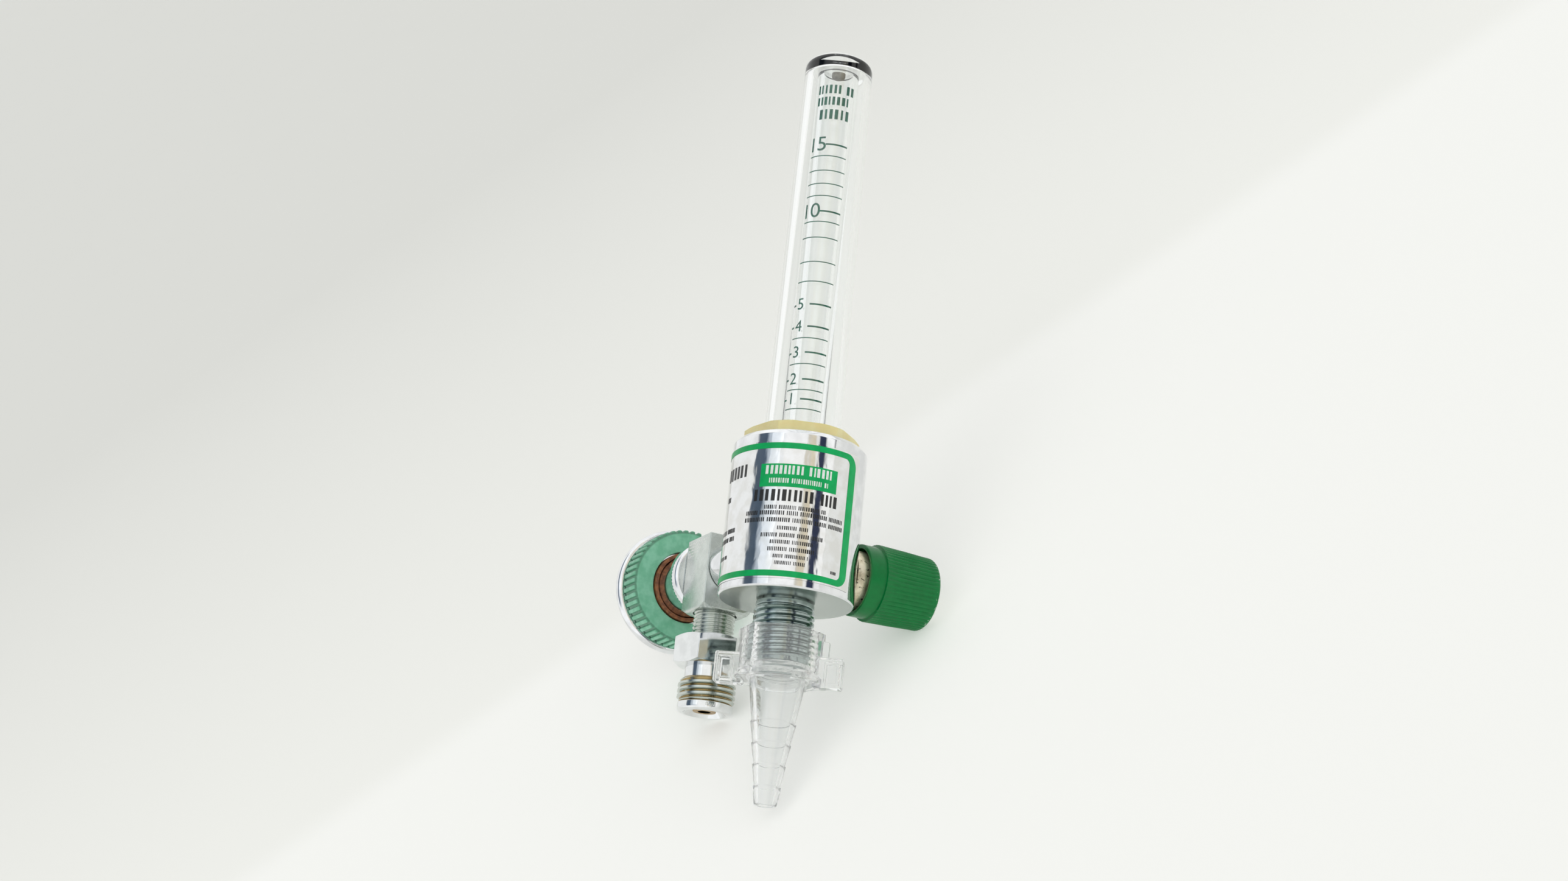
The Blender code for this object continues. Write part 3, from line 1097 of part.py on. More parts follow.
def nozzle_radius(drop):
    """Outer radius of the tapered nozzle, a distance below its top."""
    top = NOZZLE_NECK_RADIUS + NOZZLE_RING_STEP / 4
    if drop < NOZZLE_WAIST_DROP:
        return top + (NOZZLE_WAIST_RADIUS - top) * drop / NOZZLE_WAIST_DROP
    share = (drop - NOZZLE_WAIST_DROP) / (NOZZLE_LENGTH - NOZZLE_WAIST_DROP)
    return NOZZLE_WAIST_RADIUS + (NOZZLE_TIP_RADIUS - NOZZLE_WAIST_RADIUS) * share


def build_hose_nipple(shop):
    """The tapered hose nipple, with a barb at each ring: narrow above it and wide below."""
    profile = [
        (NOZZLE_NECK_RADIUS - NOZZLE_WALL, NOZZLE_LIP_TOP),
        (NOZZLE_LIP_RADIUS, NOZZLE_LIP_TOP),
        (NOZZLE_LIP_RADIUS, NOZZLE_LIP_FOOT),
        (NOZZLE_NECK_RADIUS, NOZZLE_LIP_FOOT),
        (NOZZLE_NECK_RADIUS, NOZZLE_CONE_TOP),
    ]
    for ring in range(NOZZLE_RINGS):
        drop = NOZZLE_FIRST_RING + ring * NOZZLE_RING_SPACING
        if drop < NOZZLE_LENGTH:
            profile.append((nozzle_radius(drop) - NOZZLE_RING_STEP / 2, NOZZLE_CONE_TOP - drop))
            profile.append((nozzle_radius(drop) + NOZZLE_RING_STEP / 2, NOZZLE_CONE_TOP - drop))
    tip_bore = max(NOZZLE_TIP_RADIUS - NOZZLE_WALL * 0.8, NOZZLE_TIP_RADIUS / 2)
    profile += [
        (NOZZLE_TIP_RADIUS, NOZZLE_TIP + NOZZLE_TIP_CHAMFER),
        (NOZZLE_TIP_RADIUS - NOZZLE_TIP_CHAMFER, NOZZLE_TIP),
        (tip_bore, NOZZLE_TIP),
        (NOZZLE_WAIST_RADIUS - NOZZLE_WALL, NOZZLE_CONE_TOP - NOZZLE_WAIST_DROP),
        (NOZZLE_NECK_RADIUS - NOZZLE_WALL, NOZZLE_CONE_TOP),
    ]
    shop.turned("hose_nipple", profile, SMALL_STEPS, material=clear_plastic("hose_nipple"))


def main():
    """Build the flowmeter."""
    clear_scene()
    shop = Workshop()
    build_body(shop)
    build_tube(shop)
    build_valve(shop)
    build_block(shop)
    build_takeoff(shop)
    build_inlet(shop)
    build_outlet(shop)


if __name__ == "__main__":
    main()
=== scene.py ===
"""Dressed model of a wall-outlet oxygen flowmeter.

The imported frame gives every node's place. Each sub-assembly below is a class whose fields are its
sizes in millimetres, along and around the axis (spindle) that its pieces share. Its pieces are
modelled there and then carried into the row frame, in metres.
"""

import logging
import math
import random
from dataclasses import dataclass, field
from enum import Enum
from typing import Callable, Iterable, Optional, Sequence, Union

import bmesh
import bpy
from mathutils import Matrix, Vector


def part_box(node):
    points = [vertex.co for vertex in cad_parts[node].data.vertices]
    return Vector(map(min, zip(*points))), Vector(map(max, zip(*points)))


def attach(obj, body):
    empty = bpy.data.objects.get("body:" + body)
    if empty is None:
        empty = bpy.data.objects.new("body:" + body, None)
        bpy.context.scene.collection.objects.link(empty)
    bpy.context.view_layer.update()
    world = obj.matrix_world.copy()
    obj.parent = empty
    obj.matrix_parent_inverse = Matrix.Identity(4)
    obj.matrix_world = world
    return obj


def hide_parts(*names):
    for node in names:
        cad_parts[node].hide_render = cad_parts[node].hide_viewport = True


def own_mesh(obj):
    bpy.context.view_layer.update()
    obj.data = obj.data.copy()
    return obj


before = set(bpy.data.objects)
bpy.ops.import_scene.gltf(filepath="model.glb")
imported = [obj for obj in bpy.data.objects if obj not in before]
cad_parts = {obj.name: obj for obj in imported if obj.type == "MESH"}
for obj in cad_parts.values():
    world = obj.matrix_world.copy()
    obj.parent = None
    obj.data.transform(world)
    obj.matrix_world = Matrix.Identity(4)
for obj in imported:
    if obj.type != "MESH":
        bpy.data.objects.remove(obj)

LOG = logging.getLogger("flowmeter")

MM = 0.001
MERGE = 0.0005  # mm, doubles closer than this are one point
LATHE_STEPS = 128
SMOOTH_ANGLE = math.radians(35.0)
NEARLY_STRAIGHT = math.radians(89.0)  # half the angle of a corner that needs no rounding
ROUNDED_SHARE = 0.48  # the most of a side that one rounding takes up
PHOTO_SIZE = (2576, 1447)

Number = Union[int, float]
Colour = tuple[float, float, float]
Corner = tuple[float, ...]


def srgb(red: int, green: int, blue: int) -> Colour:
    """Turn a display colour, 0 to 255, into the linear colour that a shader takes.

    Args:
        red: Red of the display colour.
        green: Green of the display colour.
        blue: Blue of the display colour.

    Returns:
        The linear colour.
    """
    def linear(value: int) -> float:
        """Undo the display curve of one channel."""
        share = value / 255.0
        return share / 12.92 if share <= 0.04045 else ((share + 0.055) / 1.055) ** 2.4

    return linear(red), linear(green), linear(blue)


class Axis(Enum):
    """Direction of a spindle, as the turn that brings +Z onto it."""

    X = (0.0, math.pi / 2, 0.0)
    Y = (-math.pi / 2, 0.0, 0.0)
    Z = (0.0, 0.0, 0.0)


class Joining(Enum):
    """Ways to combine two solids."""

    CUT = "DIFFERENCE"
    ADD = "UNION"
    KEEP_COMMON = "INTERSECT"


@dataclass(frozen=True)
class Spindle:
    """An axis that turned pieces share. Its own frame is in millimetres, +Z along the axis."""

    axis: Axis
    origin: Vector

    def matrix(self) -> Matrix:
        """Return the transform from the spindle's frame to the row frame."""
        turn = Matrix.Rotation(self.axis.value[1], 4, "Y") @ Matrix.Rotation(self.axis.value[0], 4, "X")
        return Matrix.Translation(self.origin) @ turn @ Matrix.Scale(MM, 4)


def middle(node: str) -> Vector:
    """Return the centre of a CAD node's box."""
    low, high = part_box(node)
    return (low + high) / 2


@dataclass(frozen=True)
class Layout:
    """The four axes that the flowmeter is built round, read from the frame."""

    tube: Spindle
    valve: Spindle
    inlet: Spindle
    takeoff: Spindle

    @classmethod
    def from_frame(cls) -> "Layout":
        """Read the axes from the boxes of the pieces that turn round them."""
        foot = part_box("body")[0].z
        centre = middle("body")
        datum = Vector((centre.x, centre.y, foot))
        valve = Vector((centre.x, centre.y, middle("knob_cap").z))
        inlet = Vector((centre.x, centre.y, middle("inlet_nut").z))
        takeoff = Vector((centre.x, middle("spring_retainer").y, foot))
        return cls(Spindle(Axis.Z, datum), Spindle(Axis.X, valve),
                   Spindle(Axis.Y, inlet), Spindle(Axis.Z, takeoff))


# Meshes

def fillet(before: Vector, corner: Vector, after: Vector, radius: float, steps: int = 5) -> list[Vector]:
    """Round one corner of a profile.

    Args:
        before: The point before the corner.
        corner: The corner.
        after: The point after the corner.
        radius: Radius of the rounding, less where the sides are short.
        steps: Chords in the rounding.

    Returns:
        The points that take the corner's place.
    """
    back, ahead = before - corner, after - corner
    half = back.angle(ahead) / 2
    if radius <= 0 or half > NEARLY_STRAIGHT:
        return [corner]
    cut = min(radius / math.tan(half), ROUNDED_SHARE * back.length, ROUNDED_SHARE * ahead.length)
    radius = cut * math.tan(half)
    centre = corner + (back.normalized() + ahead.normalized()).normalized() * radius / math.sin(half)
    start = corner + back.normalized() * cut - centre
    end = corner + ahead.normalized() * cut - centre
    sweep = math.atan2(start.cross(end), start.dot(end))
    return [centre + Matrix.Rotation(sweep * i / steps, 2) @ start for i in range(steps + 1)]


def profile(corners: Sequence[Corner], closed: bool = False, steps: int = 5) -> list[tuple[float, float]]:
    """Work out a turned profile from its corners.

    Args:
        corners: Points as (radius, height) or (radius, height, rounding).
        closed: Whether the last corner joins the first.
        steps: Chords in each rounding.

    Returns:
        Points as (radius, height).
    """
    points = []
    count = len(corners)
    for i, corner in enumerate(corners):
        rounding = corner[2] if len(corner) > 2 else 0.0
        if rounding and (closed or 0 < i < count - 1):
            before = Vector(corners[i - 1][:2])
            after = Vector(corners[(i + 1) % count][:2])
            points += [tuple(p) for p in fillet(before, Vector(corner[:2]), after, rounding, steps)]
        else:
            points.append((corner[0], corner[1]))
    return points


def spun(points: Sequence[tuple[float, float]], steps: int, closed: bool = False,
         pitch: float = 0.0) -> bmesh.types.BMesh:
    """Spin a chain of points one full turn round the spindle.

    Args:
        points: Points as (radius, height).
        steps: Steps round the turn.
        closed: Whether the last point joins the first.
        pitch: How far the turn rises, for a thread.

    Returns:
        The surface, with its doubles merged.
    """
    bm = bmesh.new()
    verts = [bm.verts.new((radius, 0.0, height)) for radius, height in points]
    edges = [bm.edges.new(pair) for pair in zip(verts, verts[1:])]
    if closed:
        edges.append(bm.edges.new((verts[-1], verts[0])))
    bmesh.ops.spin(bm, geom=verts + edges, cent=(0, 0, 0), axis=(0, 0, 1), dvec=(0, 0, pitch / steps),
                   angle=2 * math.pi, steps=steps, use_merge=not pitch, use_duplicate=False)
    bmesh.ops.remove_doubles(bm, verts=bm.verts[:], dist=MERGE)
    return bm


def turned_mesh(corners: Sequence[Corner], steps: int = LATHE_STEPS) -> bmesh.types.BMesh:
    """Spin a profile round the spindle.

    Args:
        corners: The profile's corners. It is a closed loop unless it starts and ends on the axis.
        steps: Steps round the full turn.

    Returns:
        The turned solid, in millimetres.
    """
    closed = corners[0][0] > 0 or corners[-1][0] > 0
    bm = spun(profile(corners, closed), steps, closed)
    bmesh.ops.recalc_face_normals(bm, faces=bm.faces[:])
    return bm


def linked(name: str, data: bpy.types.ID) -> bpy.types.Object:
    """Make an object of its data and put it in the scene."""
    made = bpy.data.objects.new(name, data)
    bpy.context.scene.collection.objects.link(made)
    return made


def written(bm: bmesh.types.BMesh, name: str) -> bpy.types.Mesh:
    """Write a bmesh to a mesh and free it."""
    mesh = bpy.data.meshes.new(name)
    bm.to_mesh(mesh)
    bm.free()
    return mesh


def smoothed(mesh: bpy.types.Mesh, angle: float) -> bpy.types.Mesh:
    """Shade a mesh smooth, with edges sharper than the angle left sharp."""
    mesh.shade_smooth()
    mesh.set_sharp_from_angle(angle=angle)
    return mesh


def place(bm: bmesh.types.BMesh, name: str, spindle: Spindle,
          angle: float = SMOOTH_ANGLE) -> bpy.types.Object:
    """Carry a mesh into the row frame as an object.

    Args:
        bm: The mesh, in the spindle's frame. It is freed.
        name: Name of the piece.
        spindle: The axis that the piece belongs to.
        angle: Edges sharper than this stay sharp.

    Returns:
        The object, at the origin with its place in its mesh.
    """
    bmesh.ops.transform(bm, matrix=spindle.matrix(), verts=bm.verts[:])
    return linked(name, smoothed(written(bm, name), angle))


def turned(name: str, spindle: Spindle, corners: Sequence[Corner],
           steps: int = LATHE_STEPS) -> bpy.types.Object:
    """Make a turned piece. Its arguments are those of turned_mesh and place."""
    return place(turned_mesh(corners, steps), name, spindle)


def freeze(piece: bpy.types.Object) -> bpy.types.Object:
    """Apply a piece's modifiers to its mesh.

    Args:
        piece: The piece.

    Returns:
        The same piece, with no modifier left.
    """
    graph = bpy.context.evaluated_depsgraph_get()
    mesh = bpy.data.meshes.new_from_object(piece.evaluated_get(graph))
    piece.modifiers.clear()
    piece.data = smoothed(mesh, SMOOTH_ANGLE)
    return piece


def combine(piece: bpy.types.Object, tool: bpy.types.Object, how: Joining) -> None:
    """Cut a piece with a tool, or join them. The tool is used up.

    Args:
        piece: The piece that changes.
        tool: The other solid.
        how: What is done.
    """
    step = piece.modifiers.new("combine", "BOOLEAN")
    step.operation = how.value
    step.object = tool
    step.solver = "EXACT"
    freeze(piece)
    bpy.data.objects.remove(tool, do_unlink=True)


def hollow(piece: bpy.types.Object, spindle: Spindle, corners: Sequence[Corner], steps: int = 96) -> None:
    """Cut a turned hollow out of a piece."""
    combine(piece, turned("hollow", spindle, corners, steps), Joining.CUT)


def thickened(piece: bpy.types.Object, thickness: float) -> bpy.types.Object:
    """Give a sheet a thickness outwards, in millimetres, and apply it."""
    wall = piece.modifiers.new("thickness", "SOLIDIFY")
    wall.thickness = thickness * MM
    wall.offset = 1.0
    wall.use_even_offset = False
    return freeze(piece)


def block_mesh(size: Vector, centre: Vector, rounding: float, turn: float = 0.0) -> bmesh.types.BMesh:
    """Make a rounded block.

    Args:
        size: Its width, depth and height.
        centre: Its centre, before the turn.
        rounding: Radius of its edges.
        turn: Turn about the spindle.

    Returns:
        The block, in millimetres.
    """
    bm = bmesh.new()
    bmesh.ops.create_cube(bm, size=1.0)
    bmesh.ops.scale(bm, vec=size, verts=bm.verts[:])
    bmesh.ops.bevel(bm, geom=bm.edges[:], offset=rounding, segments=4, profile=0.5,
                    affect="EDGES", material=-1)
    bmesh.ops.translate(bm, vec=centre, verts=bm.verts[:])
    bmesh.ops.rotate(bm, matrix=Matrix.Rotation(turn, 3, "Z"), verts=bm.verts[:])
    return bm


def hexagon_mesh(corner: float, foot: float, top: float, turn: float,
                 rounding: float) -> bmesh.types.BMesh:
    """Make a hexagonal prism.

    Args:
        corner: Radius to its corners.
        foot: Height of its foot.
        top: Height of its top.
        turn: Angle of one corner from the spindle's +X.
        rounding: Radius of the upright edges.

    Returns:
        The prism, in millimetres.
    """
    bm = bmesh.new()
    bmesh.ops.create_cone(bm, cap_ends=True, segments=6, radius1=corner, radius2=corner, depth=top - foot)
    upright = [edge for edge in bm.edges if abs(edge.verts[0].co.z - edge.verts[1].co.z) > (top - foot) / 2]
    bmesh.ops.bevel(bm, geom=upright, offset=rounding, segments=4, profile=0.5, affect="EDGES", material=-1)
    bmesh.ops.rotate(bm, matrix=Matrix.Rotation(turn - math.pi / 2, 3, "Z"), verts=bm.verts[:])
    bmesh.ops.translate(bm, vec=(0.0, 0.0, (top + foot) / 2), verts=bm.verts[:])
    return bm


@dataclass(frozen=True)
class Thread:
    """A right-hand thread with flats on its crest and in its root."""

    crest: float
    depth: float
    pitch: float
    flat: float = 0.14  # the crest's share of the pitch
    gap: float = 0.14  # the root's share
    steps: int = 72

    def rod(self, top: float, foot: float, lead_in: float = 1.0) -> bmesh.types.BMesh:
        """Make a solid rod with the thread on it.

        Args:
            top: Height of the rod's top.
            foot: Height of its foot.
            lead_in: How far the crest falls at the ends, as a share of the depth.

        Returns:
            The rod, in millimetres.
        """
        root = self.crest - self.depth
        start = foot - 2 * self.pitch
        turns = math.ceil((top - foot) / self.pitch) + 4
        half_flat = self.flat * self.pitch / 2
        half_gap = self.gap * self.pitch / 2
        points = []
        for turn in range(turns):
            base = start + turn * self.pitch
            points += [(root, base - half_gap), (root, base + half_gap),
                       (self.crest, base + self.pitch / 2 - half_flat),
                       (self.crest, base + self.pitch / 2 + half_flat)]
        bm = spun(points, self.steps, pitch=self.pitch)
        for height, side in ((top, 1.0), (foot, -1.0)):
            bmesh.ops.bisect_plane(bm, geom=bm.verts[:] + bm.edges[:] + bm.faces[:], dist=MERGE,
                                   plane_co=(0, 0, height), plane_no=(0, 0, side), clear_outer=True)
        rim = [edge for edge in bm.edges if edge.is_boundary]
        bmesh.ops.holes_fill(bm, edges=rim, sides=0)
        for vert in bm.verts:
            reach = vert.co.xy.length
            from_end = min(top - vert.co.z, vert.co.z - foot)
            limit = self.crest - lead_in * self.depth + from_end
            if reach > limit:
                vert.co.xy *= limit / reach
        bmesh.ops.remove_doubles(bm, verts=bm.verts[:], dist=MERGE)
        bmesh.ops.recalc_face_normals(bm, faces=bm.faces[:])
        return bm

    def apply(self, piece: bpy.types.Object, spindle: Spindle, top: float, foot: float, how: Joining,
              lead_in: float = 1.0) -> None:
        """Put the thread on a piece, or cut it into one.

        Args:
            piece: The piece that changes.
            spindle: The thread's axis.
            top: Height of the thread's top.
            foot: Height of its foot.
            how: ADD for a male thread, CUT for a female one.
            lead_in: As in rod.
        """
        combine(piece, place(self.rod(top, foot, lead_in), "rod", spindle), how)


def flute(bm: bmesh.types.BMesh, ribs: int, depth_at: Callable[[float, float], float], sharpness: float,
          gain: float = 1.0) -> None:
    """Press straight grooves into a turned solid.

    Args:
        bm: The solid, whose steps are a multiple of the ribs.
        ribs: How many ribs there are round it.
        depth_at: Gives the groove's depth from a point's radius and height.
        sharpness: Power of the wave. Above 1 the ribs are broad and the grooves narrow.
        gain: Above 1 the groove has a flat floor and steep walls.
    """
    for vert in bm.verts:
        reach = vert.co.xy.length
        depth = depth_at(reach, vert.co.z)
        if depth > 0:
            wave = min(1.0, gain * abs(math.cos(ribs * math.atan2(vert.co.y, vert.co.x) / 2)) ** sharpness)
            vert.co.xy *= (reach - depth * wave) / reach


# Shader maths

class Signal:
    """A shader socket that takes part in Python expressions."""

    def __init__(self, bench: "Bench", socket: bpy.types.NodeSocket) -> None:
        """Keep the socket and the bench that its nodes are made on."""
        self.bench = bench
        self.socket = socket

    def maths(self, operation: str, *others: Union["Signal", Number]) -> "Signal":
        """Pass this socket through a Math node.

        Args:
            operation: The node's operation.
            others: The second and third values.

        Returns:
            The node's result.
        """
        values = dict(enumerate((self, *others)))
        return self.bench.node("ShaderNodeMath", {"operation": operation}, values)

    def __add__(self, other: Union["Signal", Number]) -> "Signal":
        """Add."""
        return self.maths("ADD", other)

    __radd__ = __add__

    def __mul__(self, other: Union["Signal", Number]) -> "Signal":
        """Multiply."""
        return self.maths("MULTIPLY", other)

    __rmul__ = __mul__

    def __sub__(self, other: Union["Signal", Number]) -> "Signal":
        """Subtract."""
        return self.maths("SUBTRACT", other)

    def __rsub__(self, other: Number) -> "Signal":
        """Subtract this from a number."""
        return self.bench.node("ShaderNodeMath", {"operation": "SUBTRACT"}, {0: other, 1: self})

    def __truediv__(self, other: Union["Signal", Number]) -> "Signal":
        """Divide."""
        return self.maths("DIVIDE", other)

    def ramp(self, low: Number, high: Number, smooth: bool = True) -> "Signal":
        """Rise from 0 at low to 1 at high, or fall where low is above high."""
        settings = {"interpolation_type": "SMOOTHSTEP" if smooth else "LINEAR"}
        return self.bench.node("ShaderNodeMapRange", settings, {0: self, 1: low, 2: high})


class Bench:
    """Makes the nodes of one node tree."""

    def __init__(self, tree: bpy.types.NodeTree) -> None:
        """Start with an empty tree."""
        self.tree = tree
        tree.nodes.clear()

    def node(self, kind: str, settings: Optional[dict] = None, values: Optional[dict] = None,
             output: Union[int, str] = 0) -> Signal:
        """Make a node.

        Args:
            kind: The node's type.
            settings: Its settings, such as an operation or a ramp's stops.
            values: Values or signals for its inputs, by index or name.
            output: Which of its outputs is wanted.

        Returns:
            That output.
        """
        made = self.tree.nodes.new(kind)
        for name, setting in (settings or {}).items():
            if name == "stops":
                self.set_stops(made.color_ramp, setting)
            else:
                setattr(made, name, setting)
        for name, value in (values or {}).items():
            if isinstance(value, Signal):
                self.tree.links.new(value.socket, made.inputs[name])
            else:
                made.inputs[name].default_value = value
        return Signal(self, made.outputs[output]) if len(made.outputs) else Signal(self, made.inputs[0])

    @staticmethod
    def set_stops(ramp: bpy.types.ColorRamp, stops: Sequence[tuple[float, Colour]]) -> None:
        """Give a colour ramp its stops, as (place, colour)."""
        while len(ramp.elements) < len(stops):
            ramp.elements.new(1.0)
        for element, (where, colour) in zip(ramp.elements, stops):
            element.position = where
            element.color = (*colour, 1.0)

    def vector(self, operation: str, *values: Union[Signal, Sequence[float]]) -> Signal:
        """Pass vectors through a Vector Math node.

        Args:
            operation: The node's operation.
            values: Its vectors.

        Returns:
            The node's vector, or its number where the operation gives one.
        """
        output = "Value" if operation in ("LENGTH", "DOT_PRODUCT") else "Vector"
        return self.node("ShaderNodeVectorMath", {"operation": operation}, dict(enumerate(values)), output)

    def position(self) -> Signal:
        """Give the point on the piece, in the row frame, in metres."""
        return self.node("ShaderNodeTexCoord", output="Object")

    def noise(self, size: float, detail: float = 3.0, distortion: float = 0.0,
              stretch: tuple[float, float, float] = (1.0, 1.0, 1.0)) -> Signal:
        """Give a noise from about 0.3 to 0.7.

        Args:
            size: Size of its main blots, in millimetres.
            detail: Octaves of finer noise.
            distortion: How far it is stirred.
            stretch: Factors on the three directions. Below 1 draws the blots out.

        Returns:
            The noise.
        """
        where = self.node("ShaderNodeMapping", values={"Vector": self.position(), "Scale": stretch})
        return self.node("ShaderNodeTexNoise", values={
            "Vector": where, "Scale": 1.0 / (size * MM), "Detail": detail, "Distortion": distortion})

    def spots(self, spacing: float, radius: float) -> Signal:
        """Give 1 in round spots and 0 between them, in millimetres."""
        cells = self.node("ShaderNodeTexVoronoi", values={
            "Vector": self.position(), "Scale": 1.0 / (spacing * MM), "Randomness": 1.0}, output="Distance")
        return cells.ramp(radius / spacing, 0.6 * radius / spacing)

    def from_axis(self, spindle: Spindle) -> Signal:
        """Give the distance from a spindle's axis, in millimetres."""
        along = spindle.matrix().to_3x3() @ Vector((0.0, 0.0, 1.0)) / MM
        mask = tuple(0.0 if abs(part) > 0.5 else 1.0 / MM for part in along)
        offset = self.vector("SUBTRACT", self.position(), spindle.origin)
        return self.vector("LENGTH", self.vector("MULTIPLY", offset, mask))

    def along(self, direction: Iterable[float], origin: Iterable[float]) -> Signal:
        """Give how far the point lies along a direction from an origin, in millimetres."""
        offset = self.vector("SUBTRACT", self.position(), tuple(origin))
        return self.vector("DOT_PRODUCT", offset, tuple(part / MM for part in direction))

    def blend(self, share: Union[Signal, Number], first: Union[Signal, Colour],
              second: Union[Signal, Colour]) -> Signal:
        """Mix two colours.

        Args:
            share: 0 for the first colour, 1 for the second.
            first: A colour or signal.
            second: A colour or signal.

        Returns:
            The mixed colour.
        """
        def opaque(colour: Union[Signal, Colour]) -> Union[Signal, tuple]:
            """Add the fourth channel to a plain colour."""
            return colour if isinstance(colour, Signal) else (*colour, 1.0)

        return self.node("ShaderNodeMix", {"data_type": "RGBA", "clamp_factor": True}, {
            0: share, 6: opaque(first), 7: opaque(second)}, output=2)


# Finishes

COAT_ROUGHNESS = 0.03
SUBSURFACE_DEPTH = 2 * MM


@dataclass(frozen=True)
class Finish:
    """A surface: its colour with soft blots, its gloss and its fine relief."""

    name: str
    colour: Colour
    roughness: float
    metallic: float
    dark: Colour  # colour of the blots
    blot_size: float  # mm
    roughness_swing: float
    relief: float = 0.0  # mm
    relief_size: float = 1.0  # mm
    coat: float = 0.0
    transmission: float = 0.0
    subsurface: float = 0.0
    ior: float = 1.5

    def tint(self, bench: Bench) -> Signal:
        """Give the colour over the surface."""
        blots = bench.noise(self.blot_size, 4.0).ramp(0.35, 0.65)
        return bench.blend(blots, self.colour, self.dark)

    def gloss(self, bench: Bench) -> Signal:
        """Give the roughness over the surface."""
        swing = bench.noise(self.blot_size * 0.7, 3.0) - 0.5
        return swing * (2 * self.roughness_swing) + self.roughness

    def height(self, bench: Bench) -> Signal:
        """Give the relief over the surface, from 0 to 1."""
        return bench.noise(self.relief_size, 4.0)

    def build(self) -> bpy.types.Material:
        """Make the material, once."""
        if self.name in bpy.data.materials:
            return bpy.data.materials[self.name]
        material = bpy.data.materials.new(self.name)
        material.use_nodes = True
        bench = Bench(material.node_tree)
        values = {
            "Base Color": self.tint(bench),
            "Roughness": self.gloss(bench),
            "Metallic": self.metallic,
            "IOR": self.ior,
            "Coat Weight": self.coat,
            "Coat Roughness": COAT_ROUGHNESS,
            "Transmission Weight": self.transmission,
            "Subsurface Weight": self.subsurface,
            "Subsurface Scale": SUBSURFACE_DEPTH,
        }
        if self.relief:
            values["Normal"] = bench.node("ShaderNodeBump", values={
                "Height": self.height(bench), "Distance": self.relief * MM, "Strength": 1.0})
        shader = bench.node("ShaderNodeBsdfPrincipled", values=values)
        bench.node("ShaderNodeOutputMaterial", values={"Surface": shader})
        return material


@dataclass(frozen=True)
class SpottedChrome(Finish):
    """Chrome plate with a slow ripple and small dull pits."""

    pit_spacing: float = 3.4
    pit_radius: float = 0.24

    def tint(self, bench: Bench) -> Signal:
        """Give bright plate with pits where a slow noise allows them."""
        pits = bench.spots(self.pit_spacing, self.pit_radius) * bench.noise(9.0, 1.0).ramp(0.5, 0.6)
        return bench.blend(pits, super().tint(bench), self.dark)


@dataclass(frozen=True)
class BodyChrome(SpottedChrome):
    """The body's chrome plate, duller and softer on its foot."""

    spindle: Optional[Spindle] = None
    dull: Colour = srgb(178, 186, 180)

    def foot(self, bench: Bench) -> Signal:
        """Give 1 on the foot's flat face and 0 above it."""
        return bench.along((0.0, 0.0, 1.0), self.spindle.origin).ramp(0.1, 0.03)

    def tint(self, bench: Bench) -> Signal:
        """Give the pitted plate, greyer on the foot."""
        return bench.blend(self.foot(bench), super().tint(bench), self.dull)

    def gloss(self, bench: Bench) -> Signal:
        """Give a satin foot under the polished wall."""
        return super().gloss(bench) + self.foot(bench) * 0.15


@dataclass(frozen=True)
class WrinkledFilm(Finish):
    """Metallised film over the body: upright ripples that break the reflections."""

    def height(self, bench: Bench) -> Signal:
        """Give ripples that run up and down, with a few creases."""
        ripple = bench.noise(2.8, 1.5, 0.3, (1.0, 1.0, 0.5))
        crease = bench.noise(2.4, 1.0, 0.8, (1.0, 1.0, 0.3)).ramp(0.4, 0.56)
        return ripple + crease * 0.03


@dataclass(frozen=True)
class BrushedPlate(Finish):
    """Plate over upright milling marks."""

    def height(self, bench: Bench) -> Signal:
        """Give fine marks that run up and down."""
        return bench.noise(self.relief_size, 3.0, 0.1, (1.0, 1.0, 0.12))


@dataclass(frozen=True)
class PaintedShadeGroovePlastic(Finish):
    """Moulded plastic with painted shade in its grooves."""

    spindle: Optional[Spindle] = None
    groove_radius: float = 14.35
    rib_radius: float = 14.86

    def tint(self, bench: Bench) -> Signal:
        """Give the blotted colour, with painted shade near the grooves' floor."""
        reach = bench.from_axis(self.spindle)
        face = reach.ramp(self.groove_radius - 0.6, self.groove_radius - 0.2)
        # Painted shade: the grooves' floor darkens towards 0.45 of the colour.
        groove = reach.ramp(self.rib_radius, self.groove_radius) * face
        return bench.blend(groove * 0.75, super().tint(bench), tuple(0.45 * c for c in self.colour))


@dataclass(frozen=True)
class SpeckledNickel(Finish):
    """Worn nickel with small black specks of corrosion."""

    speck_size: float = 0.6  # mm

    def tint(self, bench: Bench) -> Signal:
        """Give the blotted plate with specks, drawn out along the axis."""
        specks = bench.noise(self.speck_size, 1.5, 0.6, (0.55, 1.0, 1.0)).ramp(0.635, 0.67)
        return bench.blend(specks, super().tint(bench), srgb(44, 40, 30))


